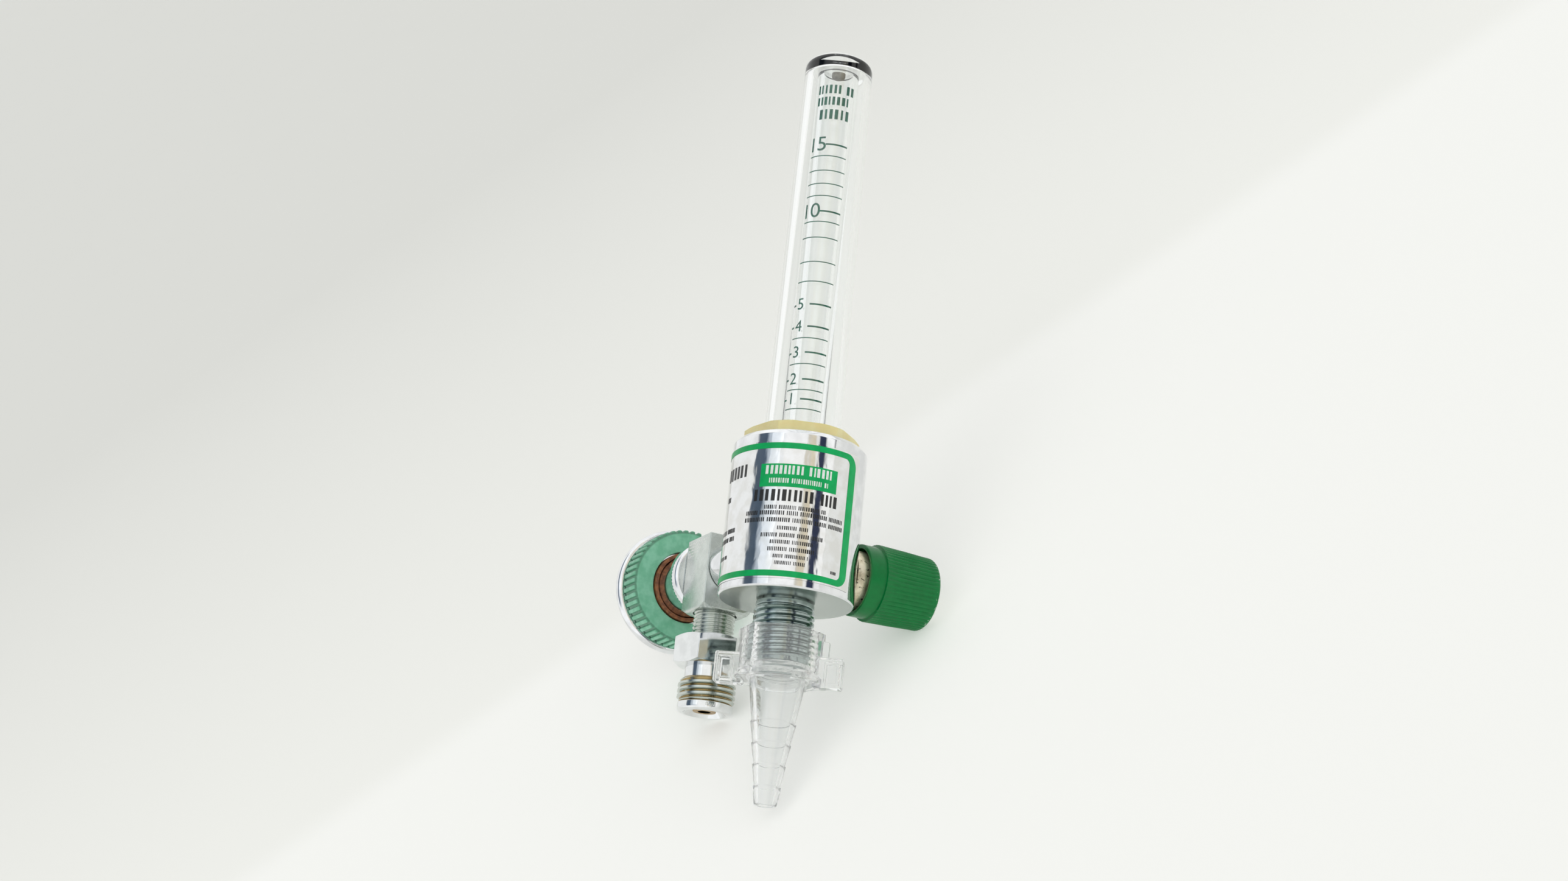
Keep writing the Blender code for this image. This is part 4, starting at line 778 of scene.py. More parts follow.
@dataclass(frozen=True)
class TakeoffPlate(Finish):
    """The take-off's plate: bright hexagon, satin pipe thread, brass in the union thread's grooves."""

    spindle: Optional[Spindle] = None
    hex_top: float = -2.2
    thread_top: float = -12.9
    thread_foot: float = -18.544
    root_radius: float = 6.4
    crest_radius: float = 7.1
    seat_radius: float = 2.9
    satin: Colour = (0.52, 0.56, 0.51)
    worn: Colour = (0.37, 0.28, 0.13)
    brass: Colour = (0.5, 0.34, 0.12)

    def zones(self, bench: Bench) -> tuple[Signal, Signal, Signal]:
        """Give the masks of the pipe thread, the union thread and the brass seat."""
        height = bench.along((0.0, 0.0, 1.0), self.spindle.origin)
        reach = bench.from_axis(self.spindle)
        pipe = height.ramp(self.hex_top - 0.1, self.hex_top + 0.15)
        union = height.ramp(self.thread_top + 0.5, self.thread_top + 0.2) * height.ramp(
            self.thread_foot - 0.3, self.thread_foot)
        return pipe, union, reach.ramp(self.seat_radius + 0.15, self.seat_radius)

    def tint(self, bench: Bench) -> Signal:
        """Give each zone its colour, with wear in the union thread's grooves."""
        pipe, union, seat = self.zones(bench)
        plate = bench.blend(union * 0.85, super().tint(bench), self.satin)
        plate = bench.blend(pipe * 0.8, plate, self.satin)
        groove = bench.from_axis(self.spindle).ramp(self.crest_radius - 0.5, self.root_radius + 0.06)
        wear = union * groove * bench.noise(2.5, 3.0).ramp(0.3, 0.42)
        return bench.blend(seat, bench.blend(wear, plate, self.worn), self.brass)

    def gloss(self, bench: Bench) -> Signal:
        """Give satin threads and bright faces."""
        pipe, union, _ = self.zones(bench)
        return super().gloss(bench) + pipe * 0.16 + union * 0.16


@dataclass(frozen=True)
class HollowBrass(Finish):
    """Brass with painted shade, nearly black, inside its bore."""

    spindle: Optional[Spindle] = None
    bore: float = 1.6
    # Painted shade: the near-black colour that fills the bore.
    bore_shade: Colour = (0.012, 0.011, 0.006)

    def tint(self, bench: Bench) -> Signal:
        """Give brass outside the bore and painted shade inside it."""
        inside = bench.from_axis(self.spindle).ramp(self.bore + 0.04, self.bore)
        return bench.blend(inside, super().tint(bench), self.bore_shade)


@dataclass(frozen=True)
class ScuffedPlastic(Finish):
    """Glossy plastic with pale scuffs on the knob's outer end."""

    spindle: Optional[Spindle] = None
    end: float = 35.9
    end_radius: float = 8.8
    scuff: Colour = (0.5, 0.6, 0.52)

    def tint(self, bench: Bench) -> Signal:
        """Give the colour with a few specks, and scuffs on the end's edge."""
        along = bench.along((1.0, 0.0, 0.0), self.spindle.origin)
        edge = along.ramp(self.end - 1.1, self.end - 0.4) * bench.from_axis(self.spindle).ramp(
            self.end_radius - 1.4, self.end_radius - 0.6)
        scuffs = edge * bench.noise(1.3, 4.0, 0.5).ramp(0.6, 0.64)
        specks = bench.spots(2.6, 0.09) * bench.noise(6.0, 1.0).ramp(0.52, 0.56)
        return bench.blend(scuffs * 0.8 + specks * 0.5, super().tint(bench), self.scuff)


class Palette:
    """Every finish of the flowmeter."""

    def __init__(self, layout: Layout) -> None:
        """Choose the finishes, some of which follow an axis."""
        self.chrome = SpottedChrome("chrome_plate", srgb(236, 237, 239), 0.05, 1.0, srgb(220, 221, 223),
                                    4.0, 0.02, 0.01, 2.6, pit_radius=0.2)
        self.body = BodyChrome("body_chrome", srgb(236, 237, 239), 0.05, 1.0, srgb(220, 221, 223),
                               4.0, 0.02, 0.01, 2.6, pit_radius=0.2, spindle=layout.tube)
        self.film = WrinkledFilm("metallised_film", srgb(232, 233, 234), 0.07, 1.0, srgb(222, 222, 220),
                                 3.0, 0.025, 0.11, 2.0, coat=0.2)
        self.milled = BrushedPlate("milled_chrome", srgb(206, 212, 207), 0.27, 1.0, srgb(196, 202, 197),
                                   2.5, 0.03, 0.004, 1.2)
        self.takeoff = TakeoffPlate("takeoff_plate", srgb(230, 232, 232), 0.06, 1.0, srgb(220, 222, 222),
                                    3.0, 0.015, 0.003, 1.4, spindle=layout.takeoff)
        self.stem = Finish("shaded_chrome", srgb(176, 188, 186), 0.16, 1.0, srgb(146, 158, 156),
                           3.0, 0.06, 0.004, 0.8)
        self.nickel = SpeckledNickel("speckled_nickel", srgb(232, 224, 200), 0.3, 0.8, srgb(200, 189, 162),
                                     2.2, 0.1, 0.03, 0.5)
        self.brass = Finish("turned_brass", srgb(196, 164, 96), 0.28, 1.0, srgb(160, 128, 70), 1.0, 0.1,
                            0.01, 0.4)
        self.nose = HollowBrass("nose_brass", srgb(186, 156, 104), 0.34, 1.0, srgb(150, 122, 78), 1.0, 0.08,
                                0.006, 0.4, spindle=layout.takeoff)
        self.bronze = Finish("sintered_bronze", srgb(150, 118, 78), 0.7, 0.8, srgb(90, 68, 44), 0.25, 0.1,
                             0.08, 0.2)
        self.steel = Finish("bright_steel", srgb(190, 190, 190), 0.18, 1.0, srgb(150, 150, 150), 1.0, 0.06,
                            0.005, 0.4)
        self.rubber = Finish("seal_rubber", srgb(34, 34, 34), 0.62, 0.0, srgb(22, 22, 22), 1.0, 0.1,
                             0.02, 0.3)
        self.fibre = Finish("brown_fibre", srgb(146, 92, 54), 0.5, 0.0, srgb(104, 62, 36), 1.0, 0.12,
                            0.03, 0.3)
        self.knob = ScuffedPlastic("dark_green_plastic", srgb(0, 116, 54), 0.26, 0.0, srgb(0, 110, 51), 2.0,
                                   0.015, 0.0, 0.8, ior=1.36, spindle=layout.valve)
        self.mint = PaintedShadeGroovePlastic("mint_grip", srgb(112, 186, 150), 0.4, 0.0, srgb(134, 202, 170), 2.4,
                                   0.1, 0.02, 0.8, spindle=layout.inlet)
        self.ivory = Finish("ivory_plastic", srgb(232, 223, 168), 0.4, 0.0, srgb(225, 212, 150), 5.0, 0.1,
                            0.02, 1.2, subsurface=0.2)
        self.white = Finish("white_plastic", srgb(226, 228, 224), 0.36, 0.0, srgb(206, 208, 202), 2.0, 0.08,
                            0.01, 0.6)
        self.clear = Finish("clear_plastic", (0.985, 0.99, 0.988), 0.02, 0.0, (0.975, 0.985, 0.98), 5.0,
                            0.012, 0.008, 5.0, transmission=1.0, ior=1.49)
        self.moulded_clear = Finish("moulded_clear", (0.99, 0.995, 0.993), 0.05, 0.0,
                                    (0.975, 0.985, 0.983), 3.0, 0.02, 0.02, 2.4,
                                    transmission=0.93, ior=1.45)
        self.frosted = Finish("frosted_clear", (0.99, 0.992, 0.988), 0.08, 0.0, (0.97, 0.98, 0.976), 2.0,
                              0.03, 0.04, 1.2, transmission=0.92, ior=1.33)
        self.stop = Finish("grey_brown_rubber", srgb(150, 144, 128), 0.55, 0.0, srgb(116, 108, 92), 0.8,
                           0.1, 0.02, 0.3)
        self.teal_ink = Finish("teal_ink", srgb(18, 116, 88), 0.4, 0.0, srgb(14, 98, 76), 0.6, 0.08,
                               ior=1.3)
        self.green_ink = Finish("green_ink", srgb(4, 170, 92), 0.32, 0.0, srgb(0, 160, 86), 2.0, 0.08,
                                ior=1.3)
        self.black_ink = Finish("black_ink", srgb(30, 31, 32), 0.35, 0.0, srgb(20, 20, 21), 0.8, 0.08)
        self.white_ink = Finish("white_ink", srgb(232, 238, 234), 0.4, 0.0, srgb(218, 226, 220), 0.8, 0.08)
        self.peen = Finish("peened_dots", srgb(250, 250, 248), 0.5, 0.0, srgb(238, 238, 236), 0.5, 0.08)


def dress(piece: bpy.types.Object, finish: Finish, body: str, nodes: Sequence[str] = ()) -> bpy.types.Object:
    """Finish a piece and hang it on its CAD body.

    Args:
        piece: The piece.
        finish: Its finish.
        body: The CAD body that it rides on.
        nodes: The CAD nodes that it stands for.

    Returns:
        The piece.
    """
    piece.data.materials.clear()
    piece.data.materials.append(finish.build())
    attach(piece, body)
    if nodes:
        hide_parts(*nodes)
    LOG.info("%s: %d faces on %s", piece.name, len(piece.data.polygons), body)
    return piece


# Print

DIGIT_HEIGHT = 0.73  # of the font's digits at size 1


@dataclass
class Sheet:
    """Flat artwork, in millimetres across and up, that is wrapped round a spindle."""

    name: str
    spindle: Spindle
    radius: float
    zero: float  # angle of u = 0 from the spindle's +X
    ink: Finish
    thickness: float = 0.03
    cell: float = 0.5
    bm: bmesh.types.BMesh = field(default_factory=bmesh.new)

    def rectangle(self, left: float, right: float, foot: float, top: float) -> None:
        """Print a filled rectangle."""
        corners = [self.bm.verts.new((u, v, 0.0)) for u, v in
                   ((left, foot), (right, foot), (right, top), (left, top))]
        self.bm.faces.new(corners)

    def border(self, left: float, right: float, foot: float, top: float, upright: float, level: float,
               corner: float, steps: int = 8) -> None:
        """Print a rounded frame.

        Args:
            left: Its outer left edge.
            right: Its outer right edge.
            foot: Its outer foot.
            top: Its outer top.
            upright: Width of its two sides.
            level: Width of its foot and top.
            corner: Outer corner radius.
            steps: Chords in a corner.
        """
        def ring(inset_u: float, inset_v: float, radius: float) -> list[bmesh.types.BMVert]:
            """Give one rounded outline."""
            points = []
            for index, (side_u, side_v) in enumerate(((1, 1), (-1, 1), (-1, -1), (1, -1))):
                edge_u = (right if side_u > 0 else left) - side_u * (inset_u + radius)
                edge_v = (top if side_v > 0 else foot) - side_v * (inset_v + radius)
                for i in range(steps + 1):
                    angle = math.pi / 2 * (index + i / steps)
                    points.append((edge_u + radius * math.cos(angle), edge_v + radius * math.sin(angle)))
            return [self.bm.verts.new((u, v, 0.0)) for u, v in points]

        outer = ring(0.0, 0.0, corner)
        inner = ring(upright, level, max(corner - (upright + level) / 2, 0.2))
        edges = []
        for loop in (outer, inner):
            edges += [self.bm.edges.new((loop[i - 1], loop[i])) for i in range(len(loop))]
        bmesh.ops.bridge_loops(self.bm, edges=edges)

    def words(self, centre: float, width: float, foot: float, height: float, seed: int) -> None:
        """Print a row of small upright bars in uneven groups, which says nothing.

        Args:
            centre: Middle of the row.
            width: Width of the row.
            foot: Foot of the row.
            height: Height of the bars.
            seed: Seed of the rhythm.
        """
        draw = random.Random(seed)
        u, end, strokes = centre - width / 2, centre + width / 2, draw.randint(6, 12)
        while u < end - 0.15 * height:
            right = min(u + height * draw.uniform(0.16, 0.36), end)
            self.rectangle(u, right, foot, foot + height)
            u = right + height * draw.uniform(0.16, 0.26)
            strokes -= 1
            if strokes == 0:
                u += 0.45 * height
                strokes = draw.randint(6, 14)

    def number(self, text: str, centre: float, middle_height: float, height: float) -> None:
        """Print a plain number.

        Args:
            text: Its digits.
            centre: Its middle across.
            middle_height: Its middle height.
            height: Height of the digits.
        """
        curve = bpy.data.curves.new("digits", "FONT")
        curve.body = text
        curve.size = height / DIGIT_HEIGHT
        curve.align_x = "CENTER"
        curve.align_y = "CENTER"
        holder = linked("digits", curve)
        graph = bpy.context.evaluated_depsgraph_get()
        mesh = bpy.data.meshes.new_from_object(holder.evaluated_get(graph))
        mesh.transform(Matrix.Translation((centre, middle_height, 0.0)))
        self.bm.from_mesh(mesh)
        bpy.data.objects.remove(holder, do_unlink=True)
        bpy.data.meshes.remove(mesh)

    def wrap(self) -> bpy.types.Object:
        """Bend the artwork round the spindle and give it the ink's thickness.

        Returns:
            The printed piece.
        """
        bmesh.ops.remove_doubles(self.bm, verts=self.bm.verts[:], dist=MERGE)
        reach = [vert.co.x for vert in self.bm.verts]
        first, last = math.ceil(min(reach) / self.cell), math.floor(max(reach) / self.cell)
        for line in range(first, last + 1):
            geometry = self.bm.verts[:] + self.bm.edges[:] + self.bm.faces[:]
            bmesh.ops.bisect_plane(self.bm, geom=geometry, dist=MERGE / 10,
                                   plane_co=(line * self.cell, 0, 0), plane_no=(1, 0, 0))
        for vert in self.bm.verts:
            angle = self.zero + vert.co.x / self.radius
            vert.co = (self.radius * math.cos(angle), self.radius * math.sin(angle), vert.co.y)
        for face in self.bm.faces:
            face.normal_update()
            outward = face.calc_center_median().xy.to_3d()
            if face.normal.dot(outward) < 0:
                face.normal_flip()
        return thickened(place(self.bm, self.name, self.spindle), self.thickness)

    def print_on(self, slot: str) -> None:
        """Wrap the print and hang it on the meter."""
        dress(self.wrap(), self.ink, "meter")


# Sub-assemblies

@dataclass
class Body:
    """The chrome body, its film label and the print on it."""

    layout: Layout
    palette: Palette
    radius: float = 15.875
    height: float = 37.6
    top_chamfer: float = 1.2
    foot_chamfer: float = 0.4
    spot_face: float = 14.375
    collar_bore: float = 12.0
    collar_floor: float = 26.2
    chamber_radius: float = 8.4
    socket_top: float = 22.0
    socket_floor: float = 17.2
    socket_radius: float = 5.4
    stem_bore: float = 5.5
    stem_floor: float = 5.7
    passage: float = 1.4
    bonnet_seat: float = 7.2
    bonnet_bore: float = 5.6
    bonnet_floor: float = 9.0
    connector_seat: float = 6.5
    connector_bore: float = 4.5
    connector_floor: float = 10.2
    film_gap: float = 0.08
    film_thickness: float = 0.07
    film_swell: float = 0.014
    film_grid: tuple[int, int] = (180, 40)
    print_gap: float = 0.02
    film_foot: float = 1.8
    film_top: float = 34.2
    film_start: float = math.radians(130.0)
    film_end: float = math.radians(304.0)
    print_zero: float = math.radians(270.0)  # u = 0 faces -Y
    print_right: float = 8.3
    print_left: float = -38.5
    print_foot: float = 2.2
    print_top: float = 33.9
    text_centre: float = -7.0
    white_rows: tuple[tuple[float, float, float], ...] = (  # width, foot and height
        (16.2, 26.3, 2.1), (14.0, 24.2, 1.15))
    black_rows: tuple[tuple[float, float, float], ...] = (
        (20.6, 19.9, 2.75), (14.7, 17.95, 0.95), (24.2, 16.6, 1.0), (24.6, 14.95, 1.0),
        (7.4, 13.1, 0.9), (15.0, 11.4, 0.95), (10.2, 9.8, 0.9), (11.0, 8.1, 0.95),
        (8.1, 6.5, 0.85), (7.1, 4.95, 0.85))
    left_rows: tuple[tuple[float, float, float, float], ...] = (  # centre, width, foot and height
        (-24.6, 8.6, 26.2, 3.0), (-27.2, 1.6, 21.0, 1.3), (-26.4, 7.6, 13.2, 1.1),
        (-26.4, 7.6, 11.2, 1.1), (-27.4, 4.8, 7.2, 0.9))

    def build(self) -> None:
        """Build the body, the film and the print."""
        self.turn_body()
        self.stick_film()
        self.print_frame()
        self.print_words()

    def turn_body(self) -> None:
        """Turn the body and mill its spot faces."""
        seat = self.radius - self.top_chamfer
        body = turned("chrome_body", self.layout.tube, [
            (0.0, self.socket_floor - 2.0),
            (self.passage, self.socket_floor - 2.0),
            (self.passage, self.socket_floor),
            (self.socket_radius, self.socket_floor),
            (self.socket_radius, self.socket_top),
            (self.chamber_radius, self.socket_top),
            (self.chamber_radius, self.collar_floor),
            (self.collar_bore, self.collar_floor),
            (self.collar_bore, self.height, 0.15),
            (seat, self.height, 0.25),
            (self.radius, self.height - self.top_chamfer, 0.35),
            (self.radius, self.foot_chamfer, 0.25),
            (self.radius - self.foot_chamfer, 0.0, 0.2),
            (self.stem_bore, 0.0, 0.2),
            (self.stem_bore, self.stem_floor),
            (self.passage, self.stem_floor),
            (self.passage, self.stem_floor + 2.0),
            (0.0, self.stem_floor + 2.0),
        ], 144)
        beyond = self.radius + 3.0
        for spindle, seat_radius, bore, floor in (
                (self.layout.valve, self.bonnet_seat, self.bonnet_bore, self.bonnet_floor),
                (self.layout.inlet, self.connector_seat, self.connector_bore, self.connector_floor)):
            hollow(body, spindle, [
                (0.0, floor), (bore, floor), (bore, self.spot_face), (seat_radius, self.spot_face),
                (seat_radius, beyond), (0.0, beyond)], 72)
        dress(body, self.palette.body, "meter", ["body"])

    def stick_film(self) -> None:
        """Wrap the film, with a few low ripples in it."""
        draw = random.Random(7)
        waves = [(draw.uniform(0.15, 0.5), draw.uniform(0.02, 0.12), draw.uniform(0, 2 * math.pi))
                 for _ in range(6)]
        radius = self.radius + self.film_gap
        bm = bmesh.new()
        bmesh.ops.create_grid(bm, x_segments=self.film_grid[0], y_segments=self.film_grid[1], size=0.5)
        for vert in bm.verts:
            share_u, share_v = vert.co.x + 0.5, vert.co.y + 0.5
            angle = self.film_start + (self.film_end - self.film_start) * share_u
            height = self.film_foot + (self.film_top - self.film_foot) * share_v
            along = angle * radius
            ripple = sum(math.sin(along * a + height * b + c) for a, b, c in waves) / len(waves)
            edge = min(share_u, 1 - share_u, share_v, 1 - share_v)
            reach = radius + self.film_swell * (1 + ripple) * min(1.0, edge * 12)
            vert.co = (reach * math.cos(angle), reach * math.sin(angle), height)
        film = thickened(place(bm, "label_film", self.layout.tube), self.film_thickness)
        dress(film, self.palette.film, "meter", ["label"])

    def sheet(self, name: str, ink: Finish, layer: int = 1) -> Sheet:
        """Start a sheet of print on the film, in its first or second layer."""
        film = self.radius + self.film_gap + self.film_thickness + 2 * self.film_swell
        return Sheet(name, self.layout.tube, film + layer * self.print_gap, self.print_zero, ink,
                     thickness=self.print_gap / 2)

    def print_frame(self) -> None:
        """Print the green frame and the green box."""
        green = self.sheet("label_frame", self.palette.green_ink)
        green.border(self.print_left, self.print_right, self.print_foot, self.print_top, 2.35, 1.4, 3.2)
        green.print_on("label")
        box = self.sheet("label_box", self.palette.green_ink)
        box.rectangle(self.text_centre - 9.15, self.text_centre + 9.5, 23.3, 28.8)
        box.print_on("label")

    def print_words(self) -> None:
        """Print the rows of bars in the green box, under it and left of it."""
        white = self.sheet("label_white_print", self.palette.white_ink, 2)
        for index, (width, foot, height) in enumerate(self.white_rows):
            white.words(self.text_centre + 0.2, width, foot, height, 11 + index)
        white.print_on("label")
        black = self.sheet("label_black_print", self.palette.black_ink)
        for index, (width, foot, height) in enumerate(self.black_rows):
            black.words(self.text_centre, width, foot, height, 20 + index)
        black.words(self.text_centre + 10.9, 1.6, 4.6, 0.7, 40)
        for index, (centre, width, foot, height) in enumerate(self.left_rows):
            black.words(centre, width, foot, height, 50 + index)
        black.print_on("label")


@dataclass
class FlowTube:
    """The clear shroud, the scaled tube inside it, the collar and the stop."""

    layout: Layout
    palette: Palette
    shroud_foot_radius: float = 9.22
    shroud_top_radius: float = 8.29
    shroud_wall: float = 1.6
    shroud_top: float = 138.2
    shroud_crown: float = 3.6
    shroud_shoulder: float = 2.7
    flange_radius: float = 11.6
    flange_foot: float = 28.2
    flange_top: float = 31.2
    collar_corner: float = 13.8
    collar_foot: float = 37.9
    collar_top: float = 40.6
    collar_skirt: float = 11.7
    collar_turn: float = math.radians(40.25)
    tube_radius: float = 5.1
    tube_foot: float = 18.5
    tube_top: float = 134.15
    bore_foot: float = 2.5
    bore_top: float = 3.4
    ball_height: float = 38.8
    ball_radius: float = 2.2
    stop_radius: float = 1.6
    stop_top: float = 134.3
    scale_zero: float = math.radians(245.33)  # the scale faces the camera's side
    bold_marks: tuple[int, ...] = (15, 10, 5, 4, 3, 2, 1)
    bold_half: float = 0.21
    fine_half: float = 0.12
    digits_middle: float = -42.0  # degrees round the tube from the scale's zero, as the next four
    bold_left: float = -16.0
    fine_left: float = -62.0
    marks_right: float = 44.0
    stub: tuple[float, float] = (-72.0, -60.0)
    tall_digits: float = 3.9
    short_digits: float = 3.0
    scale: tuple[tuple[float, float], ...] = (  # flow and height
        (15, 113.66), (14, 110.61), (13, 106.76), (12, 103.27), (11, 100.08), (10, 96.05), (9, 93.31),
        (8, 89.2), (7, 82.9), (6, 77.83), (5, 72.0), (4, 66.32), (3.5, 63.4), (3, 59.77), (2.5, 56.87),
        (2, 53.01), (1.5, 50.39), (1, 48.05), (0.5, 45.62))

    def build(self) -> None:
        """Build the tube's pieces and its scale."""
        self.turn_shroud()
        self.mill_collar()
        self.turn_tube()
        self.print_scale()

    def turn_shroud(self) -> None:
        """Turn the shroud, closed on top and flanged at the foot."""
        inner_foot = self.shroud_foot_radius - self.shroud_wall
        inner_top = self.shroud_top_radius - self.shroud_wall
        ceiling = self.shroud_top - self.shroud_crown
        shroud = turned("clear_shroud", self.layout.tube, [
            (0.0, self.shroud_top),
            (self.shroud_top_radius, self.shroud_top, self.shroud_shoulder),
            (self.shroud_foot_radius, self.flange_top, 0.3),
            (self.flange_radius, self.flange_top, 0.3),
            (self.flange_radius, self.flange_foot, 0.3),
            (inner_foot, self.flange_foot, 0.2),
            (inner_top, ceiling, self.shroud_wall / 2),
            (0.0, ceiling),
        ])
        dress(shroud, self.palette.clear, "meter", ["outer_tube"])

    def mill_collar(self) -> None:
        """Turn the collar and mill its six flats."""
        bore = self.shroud_foot_radius + 0.3
        corner = self.collar_corner
        collar = turned("ivory_collar", self.layout.tube, [
            (bore, self.collar_top, 0.3),
            (corner - 1.35, self.collar_top, 0.3),
            (corner + 0.3, self.collar_top - 0.7, 0.2),
            (corner + 0.3, self.collar_foot, 0.2),
            (self.collar_skirt, self.collar_foot, 0.1),
            (self.collar_skirt, self.flange_top + 0.3, 0.2),
            (bore, self.flange_top + 0.3, 0.2),
        ])
        skirt = turned("skirt_keeper", self.layout.tube, [
            (0.0, self.collar_foot - 0.05), (corner + 2, self.collar_foot - 0.05),
            (corner + 2, self.flange_top - 1), (0.0, self.flange_top - 1)], 36)
        flats = place(hexagon_mesh(corner, self.flange_top - 1, self.collar_top + 1, self.collar_turn, 0.3),
                      "flats", self.layout.tube)
        combine(flats, skirt, Joining.ADD)
        combine(collar, flats, Joining.KEEP_COMMON)
        dress(collar, self.palette.ivory, "meter", ["hex_collar"])

    def turn_tube(self) -> None:
        """Turn the scaled tube, its ball and its stop."""
        tube = turned("scaled_tube", self.layout.tube, [
            (self.bore_top, self.tube_top, 0.2),
            (self.tube_radius, self.tube_top, 0.35),
            (self.tube_radius, self.tube_foot, 0.2),
            (self.bore_foot, self.tube_foot, 0.2),
            (self.bore_foot, self.ball_height - self.ball_radius - 0.3),
        ])
        dress(tube, self.palette.clear, "meter", ["flow_tube"])
        ball = bmesh.new()
        bmesh.ops.create_uvsphere(ball, u_segments=40, v_segments=24, radius=self.ball_radius,
                                  matrix=Matrix.Translation((0, 0, self.ball_height)))
        dress(place(ball, "steel_float", self.layout.tube), self.palette.steel, "float", ["float_ball"])
        stop = turned("tube_stop", self.layout.tube, [
            (0.0, self.stop_top), (self.stop_radius, self.stop_top),
            (self.stop_radius, self.stop_top - self.stop_radius, self.stop_radius * 0.95),
            (0.0, self.stop_top - self.stop_radius)], 48)
        dress(stop, self.palette.stop, "meter", ["ball_stop"])

    def print_scale(self) -> None:
        """Print the flow scale round the tube."""
        scale = Sheet("flow_scale", self.layout.tube, self.tube_radius + 0.02, self.scale_zero,
                      self.palette.teal_ink, cell=0.35)
        per_degree = math.radians(1.0) * self.tube_radius
        for value, height in self.scale:
            bold = value in self.bold_marks
            left = self.bold_left if bold else self.fine_left
            half = self.bold_half if bold else self.fine_half
            scale.rectangle(left * per_degree, self.marks_right * per_degree, height - half, height + half)
            if bold:
                scale.number(str(value), self.digits_middle * per_degree, height,
                             self.tall_digits if value >= 10 else self.short_digits)
            if bold and value <= 5:
                scale.rectangle(self.stub[0] * per_degree, self.stub[1] * per_degree,
                                height - half, height + half)
        for index, (foot, height) in enumerate(((127.3, 2.3), (124.2, 2.2), (120.4, 2.6))):
            width = 82.0 if index == 2 else 104.0
            scale.words(-2.0 * per_degree, width * per_degree, foot, height, 70 + index)
        scale.print_on("flow_tube")


@dataclass
class NeedleValve:
    """The bonnet and the ribbed knob."""

    layout: Layout
    palette: Palette
    bonnet_start: float = 9.3
    shoulder: float = 14.675
    neck_start: float = 19.475
    bonnet_end: float = 24.175
    bonnet_thread: float = 5.3
    bonnet_radius: float = 6.9
    neck_radius: float = 5.4
    stem_bore: float = 2.9
    rim: float = 17.275
    step: float = 21.375
    end: float = 35.975
    collar_radius: float = 8.64
    rib_radius: float = 9.32
    end_radius: float = 8.85
    rounding: float = 1.5
    ribs: int = 54
    rib_depth: float = 0.3
    skirt_bore: float = 7.6
    skirt_floor: float = 25.075
    tail_bore: float = 2.3
    web_start: float = 30.375
    web_end: float = 31.575
    screw_bore: float = 1.5
    head_bore: float = 3.1
    cap_radius: float = 6.5
    cap_floor: float = 34.675

    def build(self) -> None:
        """Build the bonnet, the knob and its disc."""
        bonnet = turned("nickel_bonnet", self.layout.valve, [
            (self.stem_bore, self.bonnet_end, 0.2),
            (self.neck_radius, self.bonnet_end, 0.3),
            (self.neck_radius, self.neck_start, 0.2),
            (self.bonnet_radius, self.neck_start - 0.5, 0.3),
            (self.bonnet_radius, self.shoulder, 0.25),
            (self.bonnet_thread, self.shoulder),
            (self.bonnet_thread, self.bonnet_start),
            (self.stem_bore, self.bonnet_start),
        ])
        dress(bonnet, self.palette.nickel, "meter", ["valve_bonnet"])
        knob = turned_mesh([
            (self.skirt_bore, self.rim, 0.2),
            (self.collar_radius, self.rim, 0.25),
            (self.collar_radius, self.step - 0.15, 0.1),
            (self.rib_radius, self.step, 0.2),
            (self.rib_radius - 0.1, self.step + 3.0),
            (self.rib_radius - 0.22, self.step + 7.0),
            (self.end_radius, self.end - self.rounding - 0.6),
            (self.end_radius, self.end, self.rounding),
            (self.cap_radius + 0.3, self.end, 0.12),
            (self.cap_radius + 0.3, self.cap_floor, 0.1),
            (self.head_bore, self.cap_floor, 0.1),
            (self.head_bore, self.web_end),
            (self.screw_bore, self.web_end),
            (self.screw_bore, self.web_start),
            (self.tail_bore, self.web_start),
            (self.tail_bore, self.skirt_floor, 0.2),
            (self.skirt_bore, self.skirt_floor, 0.4),
        ], self.ribs * 6)

        def depth(reach: float, height: float) -> float:
            """Give the groove's depth: full along the ribs, fading round the end."""
            if reach < self.end_radius - self.rounding * 0.6 or height < self.step - 0.02:
                return 0.0
            rise = min(1.0, (height - self.step + 0.02) / 0.3)
            fall = max(0.0, min(1.0, (self.end - 0.2 - height) / self.rounding))
            return self.rib_depth * rise * fall

        flute(knob, self.ribs, depth, 2.2)
        dress(place(knob, "ribbed_knob", self.layout.valve), self.palette.knob, "knob", ["knob"])
        cap = turned("knob_disc", self.layout.valve, [
            (0.0, self.end - 0.05), (self.cap_radius, self.end - 0.05, 0.15),
            (self.cap_radius, self.end - 1.0, 0.1), (0.0, self.end - 1.0)], 96)
        dress(cap, self.palette.white, "knob", ["knob_cap"])


